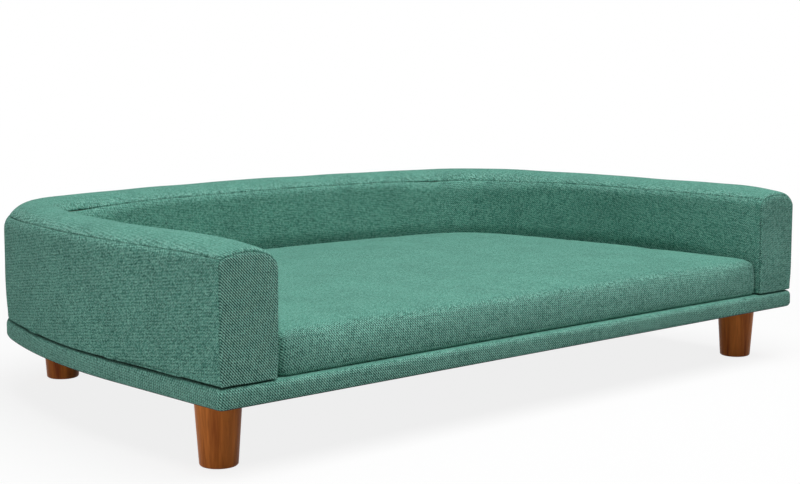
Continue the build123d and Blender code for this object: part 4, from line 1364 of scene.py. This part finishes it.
def wood_material(slot, light, dark, band_scale, blotch, turn, coat):
    """Wood whose grain runs along Z after a turn of the object's own coordinates."""

    def inputs(graph):
        place = graph.node("ShaderNodeMapping", {"Vector": object_place(graph), "Rotation": turn})
        return {"Vector": place.outputs[0], "Light": linear(light), "Dark": linear(dark),
                "Band Scale": band_scale, "Blotch": blotch}

    finish = {"Coat Weight": coat, "Coat Roughness": 0.3, "Specular IOR Level": 0.1}
    graph, shader, colour = start_material(
        slot, bpy.data.node_groups["wood_grain"], inputs,
        roughness=0.42, bump=(0.25, 0.0002), settings=finish)
    graph.feed(shader.inputs["Base Color"], colour)


def fibre_material(slot, light, dark, scale, cells, roughness=0.95):
    """Matted fibres, foam or woven tape."""

    def inputs(graph):
        return {"Vector": object_place(graph), "Light": linear(light), "Dark": linear(dark),
                "Scale": scale, "Cells": cells}

    graph, shader, colour = start_material(
        slot, bpy.data.node_groups["fibre_mat"], inputs, roughness, bump=(0.5, 0.0004))
    graph.feed(shader.inputs["Base Color"], colour)


def metal_material(slot, light, dark, metallic):
    """Bare metal (metallic 1) or painted metal (metallic 0)."""

    def inputs(graph):
        return {"Vector": object_place(graph), "Light": linear(light), "Dark": linear(dark)}

    graph, shader, colour = start_material(
        slot, bpy.data.node_groups["worn_metal"], inputs,
        roughness=0.35, bump=(0.2, 0.00005), settings={"Metallic": metallic})
    graph.feed(shader.inputs["Base Color"], colour)


def zip_teeth(name):
    """Two rows of small teeth, each a bar with a bevelled head, along the back's arc.

    A tooth lies between a near and a far depth behind the border's face, and between an inner and an outer
    height from the zip's middle.
    """
    low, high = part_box("zip_teeth")
    _, arcs = plan_stretches(WALL_THICKNESS + CUSHION_GAP)
    near, far = TOOTH_DEPTHS
    inner, outer = TOOTH_HEIGHTS
    face_radius = 1 / arcs[2][1]
    centre_y = high.y + near - face_radius
    middle = (low.z + high.z) / 2
    count = int(ZIP_LENGTH / TOOTH_PITCH)
    place = (np.arange(count) + 0.5) * TOOTH_PITCH - ZIP_LENGTH / 2
    half = TOOTH_PITCH * 0.34
    profile = np.array([
        (-half, near + 0.0002), (half, near + 0.0002), (half, far), (-half, far)])
    levels = np.array([inner, inner + 0.0004, outer - 0.0003, outer])
    narrow = np.array([0.6, 1.0, 1.0, 0.7])
    blocks, faces = [], []
    for sign in (1, -1):
        shift = 0.0 if sign > 0 else TOOTH_PITCH / 2
        along = place[:, None, None] + shift + profile[None, None, :, 0] * narrow[None, :, None]
        turn = along / face_radius
        radius = face_radius - profile[None, None, :, 1]
        x = radius * np.sin(turn)
        y = centre_y + radius * np.cos(turn)
        z = middle + sign * levels[None, :, None] + 0 * x
        blocks.append(np.stack([x, y, z], -1).reshape(-1, 3))
    points = np.concatenate(blocks)
    sides = []
    for below in (0, 4, 8):
        above = below + 4
        for corner in range(4):
            after = (corner + 1) % 4
            sides.append([below + corner, below + after, above + after, above + corner])
    sides += [[0, 3, 2, 1], [12, 13, 14, 15]]
    one = np.array(sides)
    for index, sign in enumerate((1, -1)):
        start = np.arange(count)[:, None, None] * 16 + index * count * 16
        faces.append((one[None] + start)[:, :, :: sign].reshape(-1, 4))
    faces = np.concatenate(faces)
    return mesh_object(name, points, faces, points[faces][..., [0, 2]])


class FabricColours(bpy.types.PropertyGroup):
    """Yarn colours of the cloth."""

    light: bpy.props.FloatVectorProperty(
        name="Light yarn", description="Colour of the lightest yarns",
        default=(0.66, 0.90, 0.83), size=3, min=0, max=1, subtype="COLOR_GAMMA")
    middle: bpy.props.FloatVectorProperty(
        name="Middle yarn", description="Colour of most yarns",
        default=(0.405, 0.665, 0.595), size=3, min=0, max=1, subtype="COLOR_GAMMA")
    dark: bpy.props.FloatVectorProperty(
        name="Dark yarn", description="Colour of the darkest yarns",
        default=(0.05, 0.22, 0.185), size=3, min=0, max=1, subtype="COLOR_GAMMA")


class FabricSettings(bpy.types.PropertyGroup):
    """Weave of the cloth."""

    yarn_pitch: bpy.props.FloatProperty(
        name="Yarn pitch", description="Spacing of the yarns",
        default=0.0008, min=0.0003, unit="LENGTH")
    rib_contrast: bpy.props.FloatProperty(
        name="Rib contrast", description="How much lighter the warp is",
        default=0.95, min=0, max=1)
    top_contrast: bpy.props.FloatProperty(
        name="Top contrast", description="The most that the ribs show where cloth faces up",
        default=0.22, min=0, max=1)
    heather: bpy.props.FloatProperty(
        name="Heather", description="How much the tone varies from yarn to yarn",
        default=1.0, min=0, max=2)
    mottle: bpy.props.FloatProperty(
        name="Mottle", description="Strength of the soft light and dark clouds",
        default=0.4, min=0, max=1)
    colours: bpy.props.PointerProperty(type=FabricColours, name="Yarns", description="Yarn colours")


class ShapeSettings(bpy.types.PropertyGroup):
    """How full the padding is and how its cloth lies."""

    cloth_step: bpy.props.FloatProperty(
        name="Cloth step", description="Spacing of a wall panel's columns",
        default=0.0032, min=0.001, unit="LENGTH")
    puff: bpy.props.FloatProperty(
        name="Puff", description="Swell of a panel between its seams",
        default=0.0010, min=0, unit="LENGTH")
    seam_depth: bpy.props.FloatProperty(
        name="Seam depth", description="Dip of the cloth at a seam",
        default=0.0006, min=0, unit="LENGTH")
    seam_reach: bpy.props.FloatProperty(
        name="Seam reach", description="Width of the dip on each side of a seam",
        default=0.0022, min=0.0005, unit="LENGTH")
    pucker: bpy.props.FloatProperty(
        name="Pucker", description="Height of the gathers along a seam",
        default=0.00010, min=0, unit="LENGTH")
    unevenness: bpy.props.FloatProperty(
        name="Unevenness", description="Height of the cloth's soft waves",
        default=0.00045, min=0, unit="LENGTH")
    draw_in: bpy.props.FloatProperty(
        name="Draw-in", description="How far a wall is pulled in at the platform",
        default=0.0022, min=0, unit="LENGTH")
    draw_in_height: bpy.props.FloatProperty(
        name="Draw-in height", description="Height that the pull reaches",
        default=0.060, min=0.005, unit="LENGTH")
    cushion_crown: bpy.props.FloatProperty(
        name="Cushion crown", description="Rise of the cushion's middle",
        default=0.0070, min=0, unit="LENGTH")
    cushion_seam_depth: bpy.props.FloatProperty(
        name="Cushion seam depth", description="Dip at its border's seams",
        default=0.0003, min=0, unit="LENGTH")
    cloth_pressure: bpy.props.FloatProperty(
        name="Cloth pressure", description="Inner pressure of the cloth run",
        default=4.0, min=0)
    cloth_frames: bpy.props.IntProperty(
        name="Cloth frames", description="Length of the cloth run",
        default=20, min=2)
    cloth_cap: bpy.props.FloatProperty(
        name="Cloth cap", description="Furthest that the run moves a point",
        default=0.0045, min=0, unit="LENGTH")
    side_cap: bpy.props.FloatProperty(
        name="Side cap", description="Furthest that the run moves a side outwards",
        default=0.0006, min=0, unit="LENGTH")


class SofaSettings(bpy.types.PropertyGroup):
    """All settings of the sofa bed."""

    fabric: bpy.props.PointerProperty(type=FabricSettings, name="Fabric", description="Weave and colours")
    shape: bpy.props.PointerProperty(type=ShapeSettings, name="Shape", description="Padding and seams")
    wood_light: bpy.props.FloatVectorProperty(
        name="Light wood", description="Lighter bands of the legs",
        default=(0.90, 0.535, 0.235), size=3, min=0, max=1, subtype="COLOR_GAMMA")
    wood_dark: bpy.props.FloatVectorProperty(
        name="Dark wood", description="Darker bands of the legs",
        default=(0.57, 0.265, 0.08), size=3, min=0, max=1, subtype="COLOR_GAMMA")
    lamp_power: bpy.props.FloatProperty(
        name="Lamp power", description="Power of the soft lamp overhead",
        default=79.0, min=0, unit="POWER")
    low_lamp_power: bpy.props.FloatProperty(
        name="Low lamp power", description="Power of the low lamp at the left",
        default=8.0, min=0, unit="POWER")
    sky_level: bpy.props.FloatProperty(
        name="Sky level", description="Brightness of the light from all round",
        default=0.075, min=0)


class SOFA_OT_finishes(bpy.types.Operator):
    """Build the shared effects and the materials, and dress the frame's own nodes"""

    bl_idname = "sofa_bed.finishes"
    bl_label = "Finishes"

    def execute(self, context):
        settings = context.scene.sofa_bed
        heathered_twill_group()
        wood_grain_group()
        fibre_mat_group()
        worn_metal_group()
        fabric_material("green_fabric", settings.fabric.colours, settings.fabric)
        upright, level = (0.0, 0.0, 0.0), (0.0, math.pi / 2, 0.0)
        wood_material("stained_wood", settings.wood_light, settings.wood_dark,
                      band_scale=62.0, blotch=0.45, turn=upright, coat=0.04)
        wood_material("plywood", (0.86, 0.73, 0.53), (0.70, 0.55, 0.36),
                      band_scale=30.0, blotch=0.1, turn=level, coat=0.0)
        fibre_material("hardboard", (0.50, 0.36, 0.23), (0.36, 0.25, 0.15),
                       scale=900.0, cells=0.1, roughness=0.75)
        fibre_material("foam", (0.93, 0.89, 0.74), (0.80, 0.74, 0.56),
                       scale=1400.0, cells=0.8)
        fibre_material("wadding", (0.97, 0.97, 0.96), (0.84, 0.85, 0.85),
                       scale=380.0, cells=0.0)
        fibre_material("black_nonwoven", (0.30, 0.31, 0.315), (0.17, 0.175, 0.18),
                       scale=1100.0, cells=0.25)
        metal_material("zinc_steel", (0.80, 0.81, 0.82), (0.60, 0.62, 0.64), metallic=1.0)
        fibre_material("zip_tape", (0.30, 0.49, 0.44), (0.17, 0.31, 0.28),
                       scale=1500.0, cells=0.2)
        fibre_material("zip_nylon", (0.33, 0.52, 0.47), (0.22, 0.39, 0.35),
                       scale=2400.0, cells=0.1, roughness=0.4)
        metal_material("zip_metal", (0.27, 0.43, 0.38), (0.17, 0.30, 0.26), metallic=0.0)
        for part in frame["record"]["subparts"]:
            node = frame["nodes"][part["node"]]
            node.data.materials.clear()
            node.data.materials.append(look(part["material_slot"]))
        return {"FINISHED"}


class SOFA_OT_wall_panels(bpy.types.Operator):
    """Sew the outer, inner, top and end panels round the wall's frame"""

    bl_idname = "sofa_bed.wall_panels"
    bl_label = "Wall panels"

    def execute(self, context):
        shape = context.scene.sofa_bed.shape
        outer = side_panel("outer_wall_panel", 1, shape, 11)
        finish_piece(outer, "sofa", "green_fabric", "outer_wall_cover", "outer_wall_foam")
        inner = side_panel("inner_wall_panel", -1, shape, 23)
        finish_piece(inner, "sofa", "green_fabric", "inner_wall_cover", "inner_wall_foam")
        top = top_panel("top_wall_panel", shape, 37)
        finish_piece(top, "sofa", "green_fabric", "top_wall_cover", "top_wall_foam")
        for label, side, seed in (("left", -1, 51), ("right", 1, 67)):
            end = end_panel(label + "_end_panel", side, shape, seed)
            finish_piece(end, "sofa", "green_fabric", label + "_end_cover", label + "_end_foam")
        return {"FINISHED"}


class SOFA_OT_platform(bpy.types.Operator):
    """Wrap the platform in its cover and close it below with the dust cover"""

    bl_idname = "sofa_bed.platform"
    bl_label = "Platform"

    def execute(self, context):
        shape = context.scene.sofa_bed.shape
        cover = base_cover("platform_cover", shape)
        thicken(cover)
        finish_piece(cover, "sofa", "green_fabric", "base_cover", "base_wadding")
        below = dust_cover("platform_dust_cover")
        finish_piece(below, "sofa", "black_nonwoven", "dust_cover")
        return {"FINISHED"}


class SOFA_OT_legs(bpy.types.Operator):
    """Turn the four tapered legs"""

    bl_idname = "sofa_bed.legs"
    bl_label = "Legs"

    def execute(self, context):
        for label in ("front_left_leg", "front_right_leg", "rear_left_leg", "rear_right_leg"):
            low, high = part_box(label)
            place = ((low.x + high.x) / 2, (low.y + high.y) / 2)
            finish_piece(leg("turned_" + label, place), "sofa", "stained_wood", label)
        return {"FINISHED"}


class SOFA_OT_cushion(bpy.types.Operator):
    """Fill and sew the loose cushion, and set the teeth of its zip"""

    bl_idname = "sofa_bed.cushion"
    bl_label = "Cushion"

    def execute(self, context):
        shape = context.scene.sofa_bed.shape
        seat = cushion("seat_cushion", shape)
        finish_piece(seat, "cushion", "green_fabric",
                     "cushion_foam", "cushion_bottom_cover", "cushion_border", "cushion_top_cover")
        teeth = zip_teeth("zip_tooth_rows")
        finish_piece(teeth, "cushion", "zip_nylon", "zip_teeth")
        return {"FINISHED"}


class SOFA_OT_stage(bpy.types.Operator):
    """Set the floor, the two soft lamps, the sky and the camera"""

    bl_idname = "sofa_bed.stage"
    bl_label = "Stage"

    def execute(self, context):
        settings = context.scene.sofa_bed
        scene = context.scene
        scene.view_settings.view_transform = "Standard"
        set_camera(scene)
        set_floor()
        set_lamp(scene, "soft_lamp", settings.lamp_power,
                 size=(2.8, 2.2), place=(0.0, -0.75, 2.6), target=(0, 0, 0))
        set_lamp(scene, "low_lamp", settings.low_lamp_power,
                 size=(1.4, 0.16), place=(-2.3, -0.15, 0.12), target=(0, -0.1, 0.1))
        set_sky(scene, settings.sky_level)
        return {"FINISHED"}


def set_camera(scene):
    """The camera at the photograph's place, its axes from yaw (clockwise from +Y) and downward pitch."""
    forward = Vector((
        math.sin(CAMERA_YAW) * math.cos(CAMERA_PITCH),
        math.cos(CAMERA_YAW) * math.cos(CAMERA_PITCH),
        -math.sin(CAMERA_PITCH),
    ))
    right = Vector((math.cos(CAMERA_YAW), -math.sin(CAMERA_YAW), 0))
    up = right.cross(forward)
    data = bpy.data.cameras.new("photo_camera")
    data.sensor_fit = "HORIZONTAL"
    data.sensor_width = SENSOR_WIDTH
    data.lens = CAMERA_LENS
    camera = bpy.data.objects.new("photo_camera", data)
    scene.collection.objects.link(camera)
    turned = Matrix((right, up, -forward)).transposed().to_4x4()
    camera.matrix_world = Matrix.Translation(CAMERA_PLACE) @ turned
    scene.camera = camera


def background_ray(graph):
    """1 for the rays that should see a white background: camera, glossy and transmission rays."""
    rays = graph.node("ShaderNodeLightPath").outputs
    seen = graph.math("MAXIMUM", rays["Is Camera Ray"], rays["Is Glossy Ray"])
    return graph.math("MAXIMUM", seen, rays["Is Transmission Ray"])


def set_floor():
    """A pale floor that keeps the shadow, lifted to white for the rays that see the background."""
    points = FLOOR_REACH * np.array([(-1, -1, 0), (1, -1, 0), (1, 1, 0), (-1, 1, 0)])
    floor = mesh_object("floor", points, np.array([[0, 1, 2, 3]]), points[None, :, :2])
    material = bpy.data.materials.new("pale_floor")
    material.use_nodes = True
    graph = Graph(material.node_tree)
    shader = material.node_tree.nodes["Principled BSDF"]
    place = object_place(graph)
    speckle = graph.spread(graph.noise(place, 60.0, 3.0), 0.3, 0.7, 0.49, 0.51)
    colour = graph.node("ShaderNodeCombineColor", {0: speckle, 1: speckle, 2: speckle})
    graph.feed(shader.inputs["Base Color"], colour.outputs[0])
    shader.inputs["Roughness"].default_value = 0.9
    shader.inputs["Specular IOR Level"].default_value = 0.0
    paler = graph.node("ShaderNodeBsdfDiffuse", {"Color": (0.15, 0.15, 0.15, 1)})
    lift = graph.node("ShaderNodeEmission", {"Color": (1, 1, 1, 1), "Strength": 0.85})
    both = graph.node("ShaderNodeAddShader")
    graph.feed(both.inputs[0], paler.outputs[0])
    graph.feed(both.inputs[1], lift.outputs[0])
    far = graph.node("ShaderNodeVectorMath", {0: place}, operation="LENGTH").outputs["Value"]
    white = graph.node("ShaderNodeEmission", {"Color": (1, 1, 1, 1), "Strength": 1.0})
    seen = graph.node("ShaderNodeMixShader", {0: graph.spread(far, *FLOOR_FADE)})
    graph.feed(seen.inputs[1], both.outputs[0])
    graph.feed(seen.inputs[2], white.outputs[0])
    choice = graph.node("ShaderNodeMixShader", {0: background_ray(graph)})
    graph.feed(choice.inputs[1], shader.outputs[0])
    graph.feed(choice.inputs[2], seen.outputs[0])
    output = material.node_tree.nodes["Material Output"]
    graph.feed(output.inputs["Surface"], choice.outputs[0])
    floor.data.materials.append(material)


def set_lamp(scene, name, power, size, place, target):
    """A soft rectangular lamp at a place, turned to a target."""
    data = bpy.data.lights.new(name, "AREA")
    data.shape = "RECTANGLE"
    data.size, data.size_y = size
    data.energy = power
    lamp = bpy.data.objects.new(name, data)
    scene.collection.objects.link(lamp)
    aim = (Vector(target) - Vector(place)).to_track_quat("-Z", "Y")
    lamp.matrix_world = Matrix.Translation(place) @ aim.to_matrix().to_4x4()


def set_sky(scene, level):
    """Even light from all round, and white where the background shows."""
    world = bpy.data.worlds.new("even_sky")
    world.use_nodes = True
    scene.world = world
    graph = Graph(world.node_tree)
    sky = world.node_tree.nodes["Background"]
    sky.inputs["Color"].default_value = (0.94, 0.97, 1.0, 1.0)
    sky.inputs["Strength"].default_value = level
    white = graph.node("ShaderNodeBackground", {"Color": (1, 1, 1, 1), "Strength": 1.0})
    choice = graph.node("ShaderNodeMixShader", {0: background_ray(graph)})
    graph.feed(choice.inputs[1], sky.outputs[0])
    graph.feed(choice.inputs[2], white.outputs[0])
    graph.feed(world.node_tree.nodes["World Output"].inputs["Surface"], choice.outputs[0])


class SOFA_PT_panel(bpy.types.Panel):
    """The sofa bed's settings and steps"""

    bl_idname = "SOFA_PT_panel"
    bl_label = "Sofa Bed"
    bl_space_type = "VIEW_3D"
    bl_region_type = "UI"
    bl_category = "Sofa Bed"

    def draw(self, context):
        settings = context.scene.sofa_bed
        for group in (settings.fabric, settings.fabric.colours, settings.shape, settings):
            box = self.layout.box()
            for label, prop in type(group).bl_rna.properties.items():
                if label not in ("rna_type", "name") and prop.type != "POINTER":
                    box.prop(group, label)
        for step in STEPS:
            self.layout.operator(step.bl_idname)


STEPS = (
    SOFA_OT_finishes, SOFA_OT_wall_panels, SOFA_OT_platform, SOFA_OT_legs, SOFA_OT_cushion, SOFA_OT_stage)
CLASSES = (FabricColours, FabricSettings, ShapeSettings, SofaSettings, *STEPS, SOFA_PT_panel)


def register():
    for kind in CLASSES:
        bpy.utils.register_class(kind)
    bpy.types.Scene.sofa_bed = bpy.props.PointerProperty(
        type=SofaSettings, name="Sofa bed", description="Settings of the sofa bed")


def unregister():
    del bpy.types.Scene.sofa_bed
    for kind in reversed(CLASSES):
        bpy.utils.unregister_class(kind)


def main():
    register()
    bpy.ops.sofa_bed.finishes()
    bpy.ops.sofa_bed.wall_panels()
    bpy.ops.sofa_bed.platform()
    bpy.ops.sofa_bed.legs()
    bpy.ops.sofa_bed.cushion()
    bpy.ops.sofa_bed.stage()
    bpy.context.view_layer.update()


if __name__ == "__main__":
    main()
